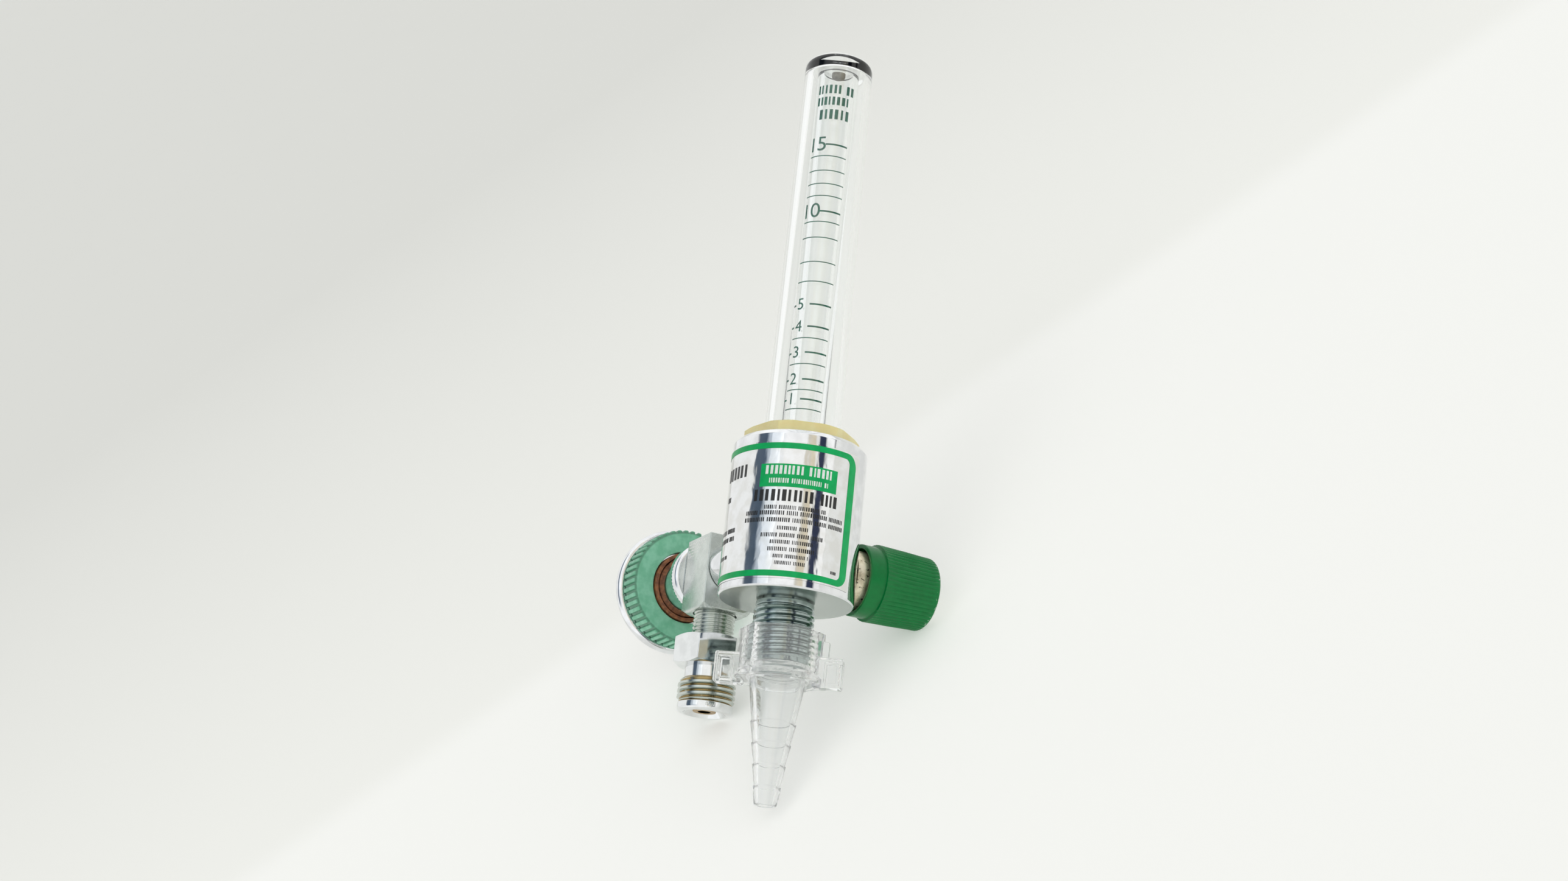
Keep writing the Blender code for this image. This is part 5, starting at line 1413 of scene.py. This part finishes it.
@dataclass
class TeeBlock:
    """The connector, the square block and the take-off below it."""

    layout: Layout
    palette: Palette
    connector_radius: float = 6.2
    connector_start: float = 14.675
    connector_end: float = 32.475
    spigot_radius: float = 4.2
    spigot_length: float = 3.9
    passage: float = 1.4
    block_width: float = 13.1
    block_start: float = 32.775
    block_end: float = 46.175
    block_foot: float = 3.8
    block_top: float = 22.5
    inlet_height: float = 14.5
    pipe: Thread = Thread(5.15, 0.42, 0.94, steps=60)
    pipe_top: float = 8.7
    pipe_bore: float = 5.45
    hex_flats: float = 15.875
    hex_top: float = -2.2
    hex_foot: float = -9.5
    hex_turn: float = math.radians(-73.0)
    neck_radius: float = 5.9
    union: Thread = Thread(7.145, 0.75, 1.411, flat=0.36, gap=0.12)
    thread_top: float = -12.9
    thread_foot: float = -18.544
    nose_radius: float = 6.9
    mouth_radius: float = 5.3
    seat_radius: float = 2.9
    end: float = -20.944
    mouth_top: float = -17.544
    hole_radius: float = 1.7
    seat: float = -13.744
    chamber_radius: float = 3.4
    nose_foot: float = -20.45
    nose_flange: float = 0.3
    nose_reach: float = 2.85
    nose_tube: float = 1.66
    nose_bore: float = 1.58
    nose_top: float = -16.97
    push: float = 2.5  # the poppet's travel
    spigot_pocket: float = 4.2  # depth of the block's pockets for its neighbours
    branch_bore: float = 1.26
    chamfer_start: float = 7.5
    chamfer_slope: float = 0.59
    chamfer_reach: float = 20.0
    dot_rows: int = 5
    dot_columns: int = 12
    dot_spacing: tuple[float, float] = (0.95, 0.8)
    dot_margin: float = 1.2

    def build(self) -> None:
        """Build the connector, the block, its dots, the take-off and what shows or moves in it."""
        connector = turned("round_connector", self.layout.inlet, [
            (self.passage, self.connector_end + self.spigot_length),
            (self.spigot_radius, self.connector_end + self.spigot_length, 0.2),
            (self.spigot_radius, self.connector_end),
            (self.connector_radius, self.connector_end, 0.2),
            (self.connector_radius, self.connector_start, 0.2),
            (self.spigot_radius, self.connector_start),
            (self.spigot_radius, self.connector_start - self.spigot_length, 0.2),
            (self.passage, self.connector_start - self.spigot_length),
        ])
        dress(connector, self.palette.chrome, "meter", ["body_connector"])
        self.mill_block()
        self.peen_dots()
        self.turn_takeoff()
        self.turn_nose()
        self.fit_spring()

    def mill_block(self) -> None:
        """Mill the block: bores for its neighbours and a turned chamfer round its foot."""
        depth = self.block_end - self.block_start
        height = self.block_top - self.block_foot
        centre = Vector((0.0, self.block_start + self.block_end, self.block_top + self.block_foot)) / 2
        block = place(block_mesh(Vector((self.block_width, depth, height)), centre, 0.28),
                      "square_tee", self.layout.tube)
        bore = self.spigot_radius + 0.3
        far, near = self.block_end - self.spigot_pocket, self.block_start + self.spigot_pocket
        hollow(block, self.layout.inlet, [
            (0.0, self.block_end + 1), (bore, self.block_end + 1), (bore, far), (self.passage, far),
            (self.passage, near), (bore, near), (bore, self.block_start - 1),
            (0.0, self.block_start - 1)], 72)
        hollow(block, self.layout.takeoff, [
            (0.0, self.inlet_height), (self.branch_bore, self.inlet_height),
            (self.branch_bore, self.pipe_top + 0.3), (self.pipe_bore, self.pipe_top + 0.3),
            (self.pipe_bore, self.block_foot - 1), (0.0, self.block_foot - 1)], 72)
        middle_axis = Spindle(Axis.Z, self.layout.tube.origin + Vector((0.0, centre.y * MM, 0.0)))
        start, slope, reach = self.chamfer_start, self.chamfer_slope, self.chamfer_reach
        hollow(block, middle_axis, [
            (start, self.block_foot), (reach, self.block_foot + slope * (reach - start)),
            (reach, self.block_foot - 2), (start - 2 / slope, self.block_foot - 2)])
        dress(block, self.palette.milled, "meter", ["tee_block"])

    def peen_dots(self) -> None:
        """Put a plain field of small dots on the block's -X face."""
        dots = bmesh.new()
        face = -self.block_width / 2
        for row in range(self.dot_rows):
            for column in range(self.dot_columns - 2 * row):
                y = self.block_end - self.dot_margin - column * self.dot_spacing[0]
                z = self.block_top - self.dot_margin - row * self.dot_spacing[1]
                where = Matrix.Translation((face - 0.02, y, z)) @ Matrix.Rotation(-math.pi / 2, 4, "Y")
                bmesh.ops.create_cone(dots, cap_ends=True, segments=10, radius1=0.22, radius2=0.16,
                                      depth=0.06, matrix=where)
        dress(place(dots, "peen_dots", self.layout.tube), self.palette.peen, "meter")

    def turn_takeoff(self) -> None:
        """Turn the take-off, mill its hexagon and cut its two threads."""
        spindle = self.layout.takeoff
        corner = self.hex_flats / math.sqrt(3)
        core = self.union.crest - self.union.depth - 0.08  # clear of the roots' flats
        pipe_core = self.pipe.crest - self.pipe.depth - 0.06
        fitting = turned("takeoff_union", spindle, [
            (0.0, self.pipe_top), (pipe_core, self.pipe_top, 0.2), (pipe_core, self.hex_top - 1),
            (self.neck_radius, self.hex_top - 1), (self.neck_radius, self.thread_top + 0.3),
            (core, self.thread_top), (core, self.thread_foot),
            (self.nose_radius, self.thread_foot - 0.3, 0.15), (self.nose_radius, self.end, 1.25),
            (0.0, self.end)])
        nut = place(hexagon_mesh(corner, self.hex_foot, self.hex_top, self.hex_turn, 0.12), "nut", spindle)
        drop = (corner - self.hex_flats / 2) * 0.55
        flat = self.hex_flats / 2 - 0.1
        cone = turned("cone", spindle, [
            (0.0, self.hex_top), (flat, self.hex_top, 0.2), (corner, self.hex_top - drop),
            (corner, self.hex_foot + drop), (flat, self.hex_foot, 0.2), (0.0, self.hex_foot)])
        combine(nut, cone, Joining.KEEP_COMMON)
        combine(fitting, nut, Joining.ADD)
        self.union.apply(fitting, spindle, self.thread_top, self.thread_foot, Joining.ADD)
        self.pipe.apply(fitting, spindle, self.pipe_top - 0.3, self.hex_top - 0.4, Joining.ADD, 0.4)
        hollow(fitting, spindle, [
            (0.0, self.pipe_top + 1), (self.chamber_radius, self.pipe_top + 1),
            (self.chamber_radius, self.seat), (self.hole_radius, self.seat),
            (self.hole_radius, self.mouth_top, 0.1), (self.seat_radius, self.mouth_top, 0.2),
            (self.mouth_radius, self.end), (self.mouth_radius + 0.3, self.end - 1), (0.0, self.end - 1)])
        dress(fitting, self.palette.takeoff, "meter", ["takeoff_fitting"])

    def turn_nose(self) -> None:
        """Turn the poppet's hollow nose, which shows in the take-off's mouth."""
        flange_top = self.nose_foot + self.nose_flange
        nose = turned("poppet_nose", self.layout.takeoff, [
            (0.0, self.nose_top), (self.nose_tube, self.nose_top),
            (self.nose_tube, flange_top), (self.nose_reach, flange_top),
            (self.nose_reach, self.nose_foot, 0.1), (self.nose_bore, self.nose_foot, 0.1),
            (self.nose_bore, self.nose_top - 0.1), (0.0, self.nose_top - 0.1)], 72)
        dress(nose, self.palette.nose, "poppet")

    def fit_spring(self) -> None:
        """Copy the check valve's spring into a mesh of its own."""
        bm = bmesh.new()
        bm.from_mesh(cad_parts["takeoff_spring"].data)
        bmesh.ops.remove_doubles(bm, verts=bm.verts[:], dist=MERGE * MM)
        bmesh.ops.recalc_face_normals(bm, faces=bm.faces[:])
        spring = linked("valve_spring", written(bm, "valve_spring"))
        dress(spring, self.palette.steel, "meter", ["takeoff_spring"])
        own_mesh(spring)


@dataclass
class Inlet:
    """The hub with its socket for the nipple, the washer, the hand-tight nut and its grip."""

    layout: Layout
    palette: Palette
    hub_start: float = 46.475
    flange_end: float = 50.475
    hub_end: float = 60.975
    flange_radius: float = 9.1
    barrel_radius: float = 7.9
    spigot_radius: float = 4.2
    spigot_length: float = 3.9
    nipple_socket: float = 3.6
    nipple_depth: float = 5.2
    passage: float = 1.4
    washer_inner: float = 7.95
    washer_outer: float = 8.9
    washer_start: float = 59.275
    grip_start: float = 59.475
    grip_end: float = 65.875
    grip_radius: float = 14.91
    grip_ribs: int = 50
    grip_depth: float = 0.6
    web_start: float = 61.275
    web_end: float = 63.175
    wall_face: float = 69.375
    boss_height: float = 0.6
    boss_radius: float = 11.0
    rim_radius: float = 16.16
    rim_start: float = 66.175
    nut_hub: float = 11.5
    shank_bore: float = 4.8
    union: Thread = Thread(7.3, 0.5, 1.411)

    def build(self) -> None:
        """Build the inlet's pieces."""
        self.turn_hub()
        self.mould_grip()
        self.turn_nut()

    def turn_hub(self) -> None:
        """Turn the flanged hub and the brown washer on it."""
        socket_floor = self.hub_end - self.nipple_depth
        hub = turned("flanged_hub", self.layout.inlet, [
            (self.passage, socket_floor),
            (self.nipple_socket, socket_floor),
            (self.nipple_socket, self.hub_end, 0.15),
            (self.barrel_radius, self.hub_end, 0.25),
            (self.barrel_radius, self.flange_end, 0.3),
            (self.flange_radius, self.flange_end, 1.2),
            (self.flange_radius, self.hub_start, 1.2),
            (self.spigot_radius, self.hub_start, 0.1),
            (self.spigot_radius, self.hub_start - self.spigot_length, 0.2),
            (self.passage, self.hub_start - self.spigot_length),
        ])
        dress(hub, self.palette.chrome, "meter", ["inlet_hub"])
        washer = turned("brown_washer", self.layout.inlet, [
            (self.washer_inner, self.washer_start, 0.2), (self.washer_outer, self.washer_start, 0.3),
            (self.washer_outer, self.hub_end, 0.2), (self.washer_inner, self.hub_end, 0.2)])
        dress(washer, self.palette.fibre, "meter", ["friction_washer"])

    def mould_grip(self) -> None:
        """Mould the ribbed grip, dished on its near face."""
        inner = self.nut_hub + 0.3
        lip = self.washer_outer + 0.3
        grip = turned_mesh([
            (lip, self.grip_start + 0.45, 0.2),
            (self.grip_radius - 2.0, self.grip_start + 0.12, 0.3),
            (self.grip_radius - 1.2, self.grip_start, 0.3),
            (self.grip_radius, self.grip_start, 0.55),
            (self.grip_radius, self.grip_end, 0.25),
            (inner, self.grip_end, 0.2),
            (inner, self.web_start - 0.3, 0.2),
            (lip, self.web_start - 0.3, 0.2),
        ], self.grip_ribs * 12)

        def depth(reach: float, height: float) -> float:
            """Give the groove's depth, only on the rim."""
            return self.grip_depth * max(0.0, min(1.0, (reach - self.grip_radius + 1.2) / 0.8))

        flute(grip, self.grip_ribs, depth, 8.0, 3.0)
        dress(place(grip, "mint_grip", self.layout.inlet, math.radians(28)), self.palette.mint,
              "hand_nut", ["grip_ring"])

    def turn_nut(self) -> None:
        """Turn the nut with its polished rim, and thread its bore."""
        spindle = self.layout.inlet
        rim_end = self.wall_face - self.boss_height
        nut = turned("polished_nut", spindle, [
            (self.shank_bore, self.web_start, 0.2),
            (self.shank_bore, self.web_end, 0.2),
            (self.union.crest - self.union.depth, self.web_end, 0.1),
            (self.union.crest - self.union.depth, self.wall_face, 0.05),
            (self.boss_radius, self.wall_face, 0.2),
            (self.boss_radius + self.boss_height, rim_end, 0.2),
            (self.rim_radius, rim_end, 1.28),
            (self.rim_radius, self.rim_start, 1.28),
            (self.nut_hub, self.rim_start, 0.1),
            (self.nut_hub, self.web_start, 0.2),
        ], 144)
        self.union.apply(nut, spindle, self.wall_face + 2, self.web_end + 0.6, Joining.CUT)
        dress(nut, self.palette.chrome, "hand_nut", ["inlet_nut"])


@dataclass
class Outlet:
    """The outlet stem, the wing nut and the tapered hose nipple."""

    layout: Layout
    palette: Palette
    stem_top: float = 4.1
    spigot_radius: float = 5.2
    neck_top: float = -0.3
    neck_foot: float = -1.4
    neck_radius: float = 6.8
    relief_radius: float = 6.2
    union: Thread = Thread(7.145, 0.75, 1.411, flat=0.34, gap=0.12)
    thread_top: float = -1.55
    thread_foot: float = -13.9
    stem_end: float = -14.688
    bore_radius: float = 2.5
    mouth_radius: float = 5.2
    mouth_depth: float = 2.4
    nut_flats: float = 17.8
    nut_top: float = -6.95
    nut_foot: float = -18.838
    nut_ledge: float = -17.088
    nut_turn: float = math.radians(-35.0)
    nut_thread: Thread = Thread(7.36, 0.2, 1.411, flat=0.3)
    nut_neck_bore: float = 6.75
    flange_height: float = 1.9
    wing_reach: float = 14.9
    wing_thickness: float = 4.2
    wing_height: float = 7.2
    wing_hang: float = 0.9
    wing_wall: float = 1.1
    wing_webs: tuple[float, float] = (3.5, 1.1)  # the right wing is nearly full, the left one a frame
    lug_reach: float = 11.4
    lug_thickness: float = 2.0
    lug_height: float = 5.0
    lip_top: float = -14.988
    lip_foot: float = -16.788
    lip_radius: float = 7.1
    cone_neck: float = 6.45
    cone_top: float = -19.138
    waist_drop: float = 19.0
    waist_radius: float = 3.72
    tip: float = -47.338
    tip_radius: float = 2.6
    nozzle_wall: float = 1.2
    tip_wall: float = 0.95
    rings: int = 4
    first_ring: float = 9.2
    ring_spacing: float = 4.9
    ring_step: float = 0.26

    def build(self) -> None:
        """Build the outlet's pieces."""
        self.turn_stem()
        self.mould_nut()
        self.mould_nozzle()

    def turn_stem(self) -> None:
        """Turn the stem under the body and cut its thread."""
        spindle = self.layout.tube
        core = self.union.crest - self.union.depth - 0.1  # clear of the roots' flats
        stem = turned("outlet_thread", spindle, [
            (0.0, self.stem_top), (self.spigot_radius, self.stem_top, 0.1),
            (self.spigot_radius, self.neck_top),
            (self.neck_radius, self.neck_top, 0.15), (self.neck_radius, self.neck_foot, 0.15),
            (self.relief_radius, self.neck_foot - 0.1, 0.1), (self.relief_radius, self.thread_top - 0.2),
            (core, self.thread_top - 0.6), (core, self.stem_end, 0.2), (0.0, self.stem_end)])
        self.union.apply(stem, spindle, self.thread_top, self.thread_foot, Joining.ADD)
        hollow(stem, spindle, [
            (0.0, self.stem_top + 1), (self.bore_radius, self.stem_top + 1),
            (self.bore_radius, self.stem_end + self.mouth_depth), (self.mouth_radius, self.stem_end),
            (self.mouth_radius, self.stem_end - 1), (0.0, self.stem_end - 1)])
        dress(stem, self.palette.stem, "meter", ["outlet_stem"])

    def mould_nut(self) -> None:
        """Mould the wing nut: hexagon, foot flange, two framed wings and a lug, threaded inside."""
        spindle = self.layout.tube
        corner = self.nut_flats / math.sqrt(3)
        wing_foot = self.nut_foot - self.wing_hang
        wing_middle = wing_foot + self.wing_height / 2
        nut = place(hexagon_mesh(corner, self.nut_foot, self.nut_top, self.nut_turn, 0.35),
                    "wing_nut_clear", spindle)
        flange_top = self.nut_foot + self.flange_height
        flange = turned("flange", spindle, [
            (0.0, flange_top), (corner - 0.15, flange_top, 0.4),
            (corner - 0.15, self.nut_foot, 0.5), (0.0, self.nut_foot)], 96)
        combine(nut, flange, Joining.ADD)
        inner = (self.nut_thread.crest + self.nut_flats / 2) / 2
        for side in (0, 1):
            turn = self.nut_turn + side * math.pi
            size = Vector((self.wing_reach - inner, self.wing_thickness, self.wing_height))
            centre = Vector(((self.wing_reach + inner) / 2, 0.0, wing_middle))
            combine(nut, place(block_mesh(size, centre, 0.55, turn), "wing", spindle), Joining.ADD)
            start = corner + self.wing_wall / 2
            for face in (-1, 1):
                size = Vector((self.wing_reach - self.wing_wall - start, self.wing_thickness,
                               self.wing_height - 2 * self.wing_wall))
                centre = Vector(((self.wing_reach - self.wing_wall + start) / 2,
                                 face * (self.wing_thickness + self.wing_webs[side]) / 2, wing_middle))
                combine(nut, place(block_mesh(size, centre, 0.25, turn), "pocket", spindle), Joining.CUT)
        size = Vector((self.lug_reach - inner, self.lug_thickness, self.lug_height))
        centre = Vector(((self.lug_reach + inner) / 2, 0.0, wing_foot + self.wing_height + 1.3))
        combine(nut, place(block_mesh(size, centre, 0.35, self.nut_turn), "lug", spindle), Joining.ADD)
        self.nut_thread.apply(nut, spindle, self.nut_top + 1.5, self.nut_ledge, Joining.CUT)
        hollow(nut, spindle, [
            (0.0, self.nut_ledge + 0.5), (self.nut_neck_bore, self.nut_ledge + 0.5),
            (self.nut_neck_bore, wing_foot - 1), (0.0, wing_foot - 1)])
        dress(nut, self.palette.frosted, "wings", ["wing_nut"])

    def cone_radius(self, drop: float) -> float:
        """Give the nozzle's radius a distance below its top."""
        top = self.cone_neck + self.ring_step / 4
        length = self.cone_top - self.tip
        if drop < self.waist_drop:
            return top + (self.waist_radius - top) * drop / self.waist_drop
        share = (drop - self.waist_drop) / (length - self.waist_drop)
        return self.waist_radius + (self.tip_radius - self.waist_radius) * share

    def mould_nozzle(self) -> None:
        """Mould the tapered nipple, with a barb at each ring."""
        corners = [
            (self.cone_neck - self.nozzle_wall, self.lip_top, 0.2),
            (self.lip_radius, self.lip_top, 0.3),
            (self.lip_radius, self.lip_foot, 0.2),
            (self.cone_neck, self.lip_foot, 0.1),
            (self.cone_neck, self.cone_top, 0.3),
        ]
        for ring in range(self.rings):
            drop = self.first_ring + ring * self.ring_spacing
            reach = self.cone_radius(drop)
            corners += [(reach - self.ring_step / 2, self.cone_top - drop + 0.12, 0.15),
                        (reach + self.ring_step / 2, self.cone_top - drop - 0.05, 0.08)]
        corners += [
            (self.tip_radius, self.tip, 0.35),
            (self.tip_radius - self.tip_wall, self.tip, 0.2),
            (self.waist_radius - self.nozzle_wall, self.cone_top - self.waist_drop),
            (self.cone_neck - self.nozzle_wall, self.cone_top),
        ]
        nozzle = turned("hose_nozzle", self.layout.tube, corners)
        dress(nozzle, self.palette.moulded_clear, "nozzle", ["hose_nipple"])


def dress_frame_nodes(palette: Palette) -> None:
    """Give every CAD node that still shows its own procedural finish."""
    finishes = {
        "shroud_seal": palette.rubber, "tube_gasket": palette.rubber, "stem_packing": palette.rubber,
        "nipple_seal": palette.rubber, "poppet_seal": palette.rubber, "ball_seat": palette.white,
        "outlet_gasket": palette.white, "valve_seat": palette.brass, "valve_stem": palette.brass,
        "takeoff_poppet": palette.brass, "spring_retainer": palette.brass, "inlet_nipple": palette.brass,
        "inlet_filter": palette.bronze, "knob_screw": palette.steel,
    }
    for name, finish in finishes.items():
        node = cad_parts[name]
        node.data.materials.clear()
        node.data.materials.append(finish.build())
        LOG.info("%s: %s", name, finish.name)


# Studio

def out_of(azimuth: float, elevation: float) -> Vector:
    """Return the direction out of the part towards an azimuth from -Y and an elevation."""
    return Vector((math.sin(azimuth) * math.cos(elevation), -math.cos(azimuth) * math.cos(elevation),
                   math.sin(elevation)))


@dataclass(frozen=True)
class Viewpoint:
    """The photograph's camera, from the body's foot on the tube's axis."""

    datum: Vector
    azimuth: float = math.radians(-24.670)
    elevation: float = math.radians(-17.362)
    roll: float = math.radians(5.902)
    right: float = 0.330  # mm from the camera to the datum, along the view's three directions
    down: float = 37.618
    ahead: float = 565.947
    lens: float = 56.093
    sensor: float = 36.0

    def axes(self) -> tuple[Vector, Vector, Vector]:
        """Return the view's right, down and forward directions."""
        forward = -out_of(self.azimuth, self.elevation)
        level = Vector((math.cos(self.azimuth), math.sin(self.azimuth), 0.0))
        down = -level.cross(forward)
        c, s = math.cos(self.roll), math.sin(self.roll)
        return c * level - s * down, s * level + c * down, forward

    def location(self) -> Vector:
        """Return the camera's place in the row frame."""
        right, down, forward = self.axes()
        return self.datum - (right * self.right + down * self.down + forward * self.ahead) * MM

    def ray(self, pixel: tuple[float, float]) -> Vector:
        """Return the direction in which a pixel of the photograph looks."""
        right, down, forward = self.axes()
        focal = self.lens / self.sensor * PHOTO_SIZE[0]
        across = (pixel[0] - PHOTO_SIZE[0] / 2) / focal
        below = (pixel[1] - PHOTO_SIZE[1] / 2) / focal
        return (right * across + down * below + forward).normalized()

    def place(self) -> None:
        """Set the camera up."""
        right, down, forward = self.axes()
        data = bpy.data.cameras.new("camera")
        data.lens = self.lens
        data.sensor_width = self.sensor
        data.clip_start = 0.01
        camera = linked("camera", data)
        turn = Matrix((right, -down, -forward)).transposed().to_4x4()
        camera.matrix_world = Matrix.Translation(self.location()) @ turn
        bpy.context.scene.camera = camera


@dataclass(frozen=True)
class Studio:
    """The table that the flowmeter lies on, the room that it reflects, and the key light."""

    view: Viewpoint
    into_table: Vector = Vector((0.796, 0.310, -0.519)).normalized()
    table_size: float = 4.0
    fill: Colour = (0.3, 0.2985, 0.294)  # what matt surfaces get from behind the flowmeter
    front: Colour = (0.9, 0.8955, 0.882)  # and from the camera's side
    backdrop: Colour = srgb(232, 232, 230)  # what the camera sees past the table
    over_bands: Colour = (0.93, 0.94, 0.94)  # the room above and below its bands
    bands_foot: tuple[float, float] = (-0.45, -0.25)  # sines of the elevations where they fade
    bands_top: tuple[float, float] = (0.85, 0.62)
    # The paper's colours paint light and shade: darker the further from the pool of light, brighter inside
    # the pool past a soft edge.
    paper_far_shaded: Colour = srgb(210, 211, 207)
    paper_near: Colour = srgb(229, 230, 226)
    paper_light_pool: Colour = srgb(235, 236, 233)
    far_shade_fade: tuple[float, float] = (-420.0, -10.0)  # mm before the painted pool of light's soft edge, over which painted shade darkens the paper the further it lies from the pool
    light_pool_edge: tuple[float, float] = (-8.0, 10.0)  # mm across it
    glow: float = 0.38  # the paper's own light, which lifts its shadows
    pool_rim_left: tuple[float, float] = (386.0, 1447.0)  # photo pixels on the soft edge of the painted pool of light
    pool_rim_right: tuple[float, float] = (2512.0, 0.0)
    pool_side_pixel: tuple[float, float] = (2300.0, 1300.0)  # a photo pixel inside the painted pool of light
    key_azimuth: float = math.radians(-67.0)
    key_elevation: float = math.radians(24.0)
    key_distance: float = 1.0
    key_size: tuple[float, float] = (0.34, 1.15)
    key_watts: float = 0.4
    room_strength: float = 1.2
    bands: tuple[tuple[float, tuple[int, int, int]], ...] = (  # degrees round +Z, and display colour
        (-180, (232, 233, 232)), (-107, (236, 237, 236)), (-102, (84, 96, 110)), (-87, (74, 88, 104)),
        (-82, (176, 186, 196)), (-64, (200, 207, 212)), (-58, (228, 231, 233)), (-50, (246, 246, 245)),
        (-16, (244, 244, 242)), (-13, (206, 202, 190)), (-6, (216, 206, 184)), (-1, (214, 204, 182)),
        (1.0, (238, 237, 232)), (5.0, (236, 235, 230)), (7.0, (52, 58, 80)), (17, (50, 56, 76)),
        (20, (242, 242, 240)), (33, (246, 246, 244)), (36, (74, 76, 82)), (40, (84, 86, 92)),
        (43, (240, 240, 238)), (180, (232, 233, 232)))

    def build(self) -> None:
        """Build the studio."""
        self.view.place()
        self.lay_table()
        self.light_room()
        self.hang_key()
        scene = bpy.context.scene
        scene.view_settings.view_transform = "Standard"
        scene.view_settings.look = "None"
        scene.cycles.max_bounces = 24
        scene.cycles.transmission_bounces = 20
        scene.cycles.transparent_max_bounces = 16
        scene.cycles.glossy_bounces = 8
        scene.cycles.blur_glossy = 0.6

    def touch(self) -> float:
        """Return how far the table lies from the origin, where the part rests on it."""
        return max(self.into_table.dot(vert.co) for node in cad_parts.values()
                   for vert in node.data.vertices)

    def lay_table(self) -> None:
        """Lay the table as a one-sided sheet, with a painted pool of light beyond a soft edge."""
        reach = self.touch()
        turn = (-self.into_table).to_track_quat("Z", "Y").to_matrix().to_4x4()
        bm = bmesh.new()
        bmesh.ops.create_grid(bm, x_segments=1, y_segments=1, size=self.table_size / 2)
        where = Matrix.Translation(self.into_table * reach) @ turn
        bmesh.ops.transform(bm, matrix=where, verts=bm.verts[:])
        table = linked("table", written(bm, "table"))
        table.data.materials.append(self.paper(reach))

    def on_table(self, pixel: tuple[float, float], reach: float) -> Vector:
        """Return the point of the table that a pixel of the photograph sees."""
        origin, ray = self.view.location(), self.view.ray(pixel)
        return origin + ray * (reach - self.into_table.dot(origin)) / self.into_table.dot(ray)

    def paper(self, reach: float) -> bpy.types.Material:
        """Make the table's material.

        Args:
            reach: How far the table lies from the origin.

        Returns:
            The material, which shows only its upper side.
        """
        near, far = self.on_table(self.pool_rim_left, reach), self.on_table(self.pool_rim_right, reach)
        across = (far - near).cross(self.into_table).normalized()
        if across.dot(self.on_table(self.pool_side_pixel, reach) - near) < 0:
            across = -across
        material = bpy.data.materials.new("table_paper")
        material.use_nodes = True
        bench = Bench(material.node_tree)
        beyond = bench.along(across, near)
        # Painted shade darkens the paper away from the pool; a painted pool of light brightens it past the
        # soft edge.
        grey = bench.blend(beyond.ramp(*self.far_shade_fade, False), self.paper_far_shaded, self.paper_near)
        tint = bench.blend(beyond.ramp(*self.light_pool_edge), grey, self.paper_light_pool)
        face = bench.node("ShaderNodeBsdfPrincipled", values={
            "Base Color": tint, "Roughness": bench.noise(40.0, 2.0) * 0.1 + 0.7, "IOR": 1.3,
            "Emission Color": tint, "Emission Strength": self.glow})
        gone = bench.node("ShaderNodeBsdfTransparent")
        back = bench.node("ShaderNodeNewGeometry", output="Backfacing")
        shown = bench.node("ShaderNodeMixShader", values={0: back, 1: face, 2: gone})
        bench.node("ShaderNodeOutputMaterial", values={"Surface": shown})
        return material

    def light_room(self) -> None:
        """Make the room that the plating reflects: upright bands of light and dark round +Z."""
        world = bpy.data.worlds.new("room")
        bpy.context.scene.world = world
        world.use_nodes = True
        bench = Bench(world.node_tree)
        direction = bench.node("ShaderNodeTexCoord", output="Generated")
        x, y, z = (bench.node("ShaderNodeSeparateXYZ", values={0: direction}, output=i) for i in range(3))
        azimuth = x.maths("ARCTAN2", y * -1.0) * (180.0 / math.pi)
        stops = [((where + 180.0) / 360.0, srgb(*colour)) for where, colour in self.bands]
        band = bench.node("ShaderNodeValToRGB", {"stops": stops}, {0: (azimuth + 180.0) / 360.0})
        level = z.ramp(*self.bands_foot) * z.ramp(*self.bands_top)
        room = bench.blend(level, self.over_bands, band)
        seen = bench.node("ShaderNodeLightPath", output="Is Camera Ray")
        lit = bench.node("ShaderNodeLightPath", output="Is Diffuse Ray")
        facing = bench.vector("DOT_PRODUCT", direction, tuple(-self.view.axes()[2]))
        fill = bench.blend(facing.ramp(-0.1, 1.0), self.fill, self.front)
        colour = bench.blend(seen, bench.blend(lit, room, fill), self.backdrop)
        background = bench.node("ShaderNodeBackground", values={
            "Color": colour, "Strength": self.room_strength})
        bench.node("ShaderNodeOutputWorld", values={"Surface": background})

    def hang_key(self) -> None:
        """Hang the tall softbox over the table."""
        towards = out_of(self.key_azimuth, self.key_elevation)
        data = bpy.data.lights.new("key", "AREA")
        data.shape = "RECTANGLE"
        data.size, data.size_y = self.key_size
        data.energy = self.key_watts
        key = linked("key", data)
        key.matrix_world = (Matrix.Translation(self.view.datum + towards * self.key_distance)
                            @ towards.to_track_quat("Z", "Y").to_matrix().to_4x4())
        key.visible_camera = False


def main() -> None:
    """Dress the flowmeter and light it."""
    logging.basicConfig(level=logging.INFO, format="%(name)s %(message)s")
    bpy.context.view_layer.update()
    layout = Layout.from_frame()
    palette = Palette(layout)
    Studio(Viewpoint(layout.tube.origin)).build()
    for assembly in (Body, FlowTube, NeedleValve, TeeBlock, Inlet, Outlet):
        assembly(layout, palette).build()
        LOG.info("built %s", assembly.__name__)
    dress_frame_nodes(palette)


if __name__ == "__main__":
    main()
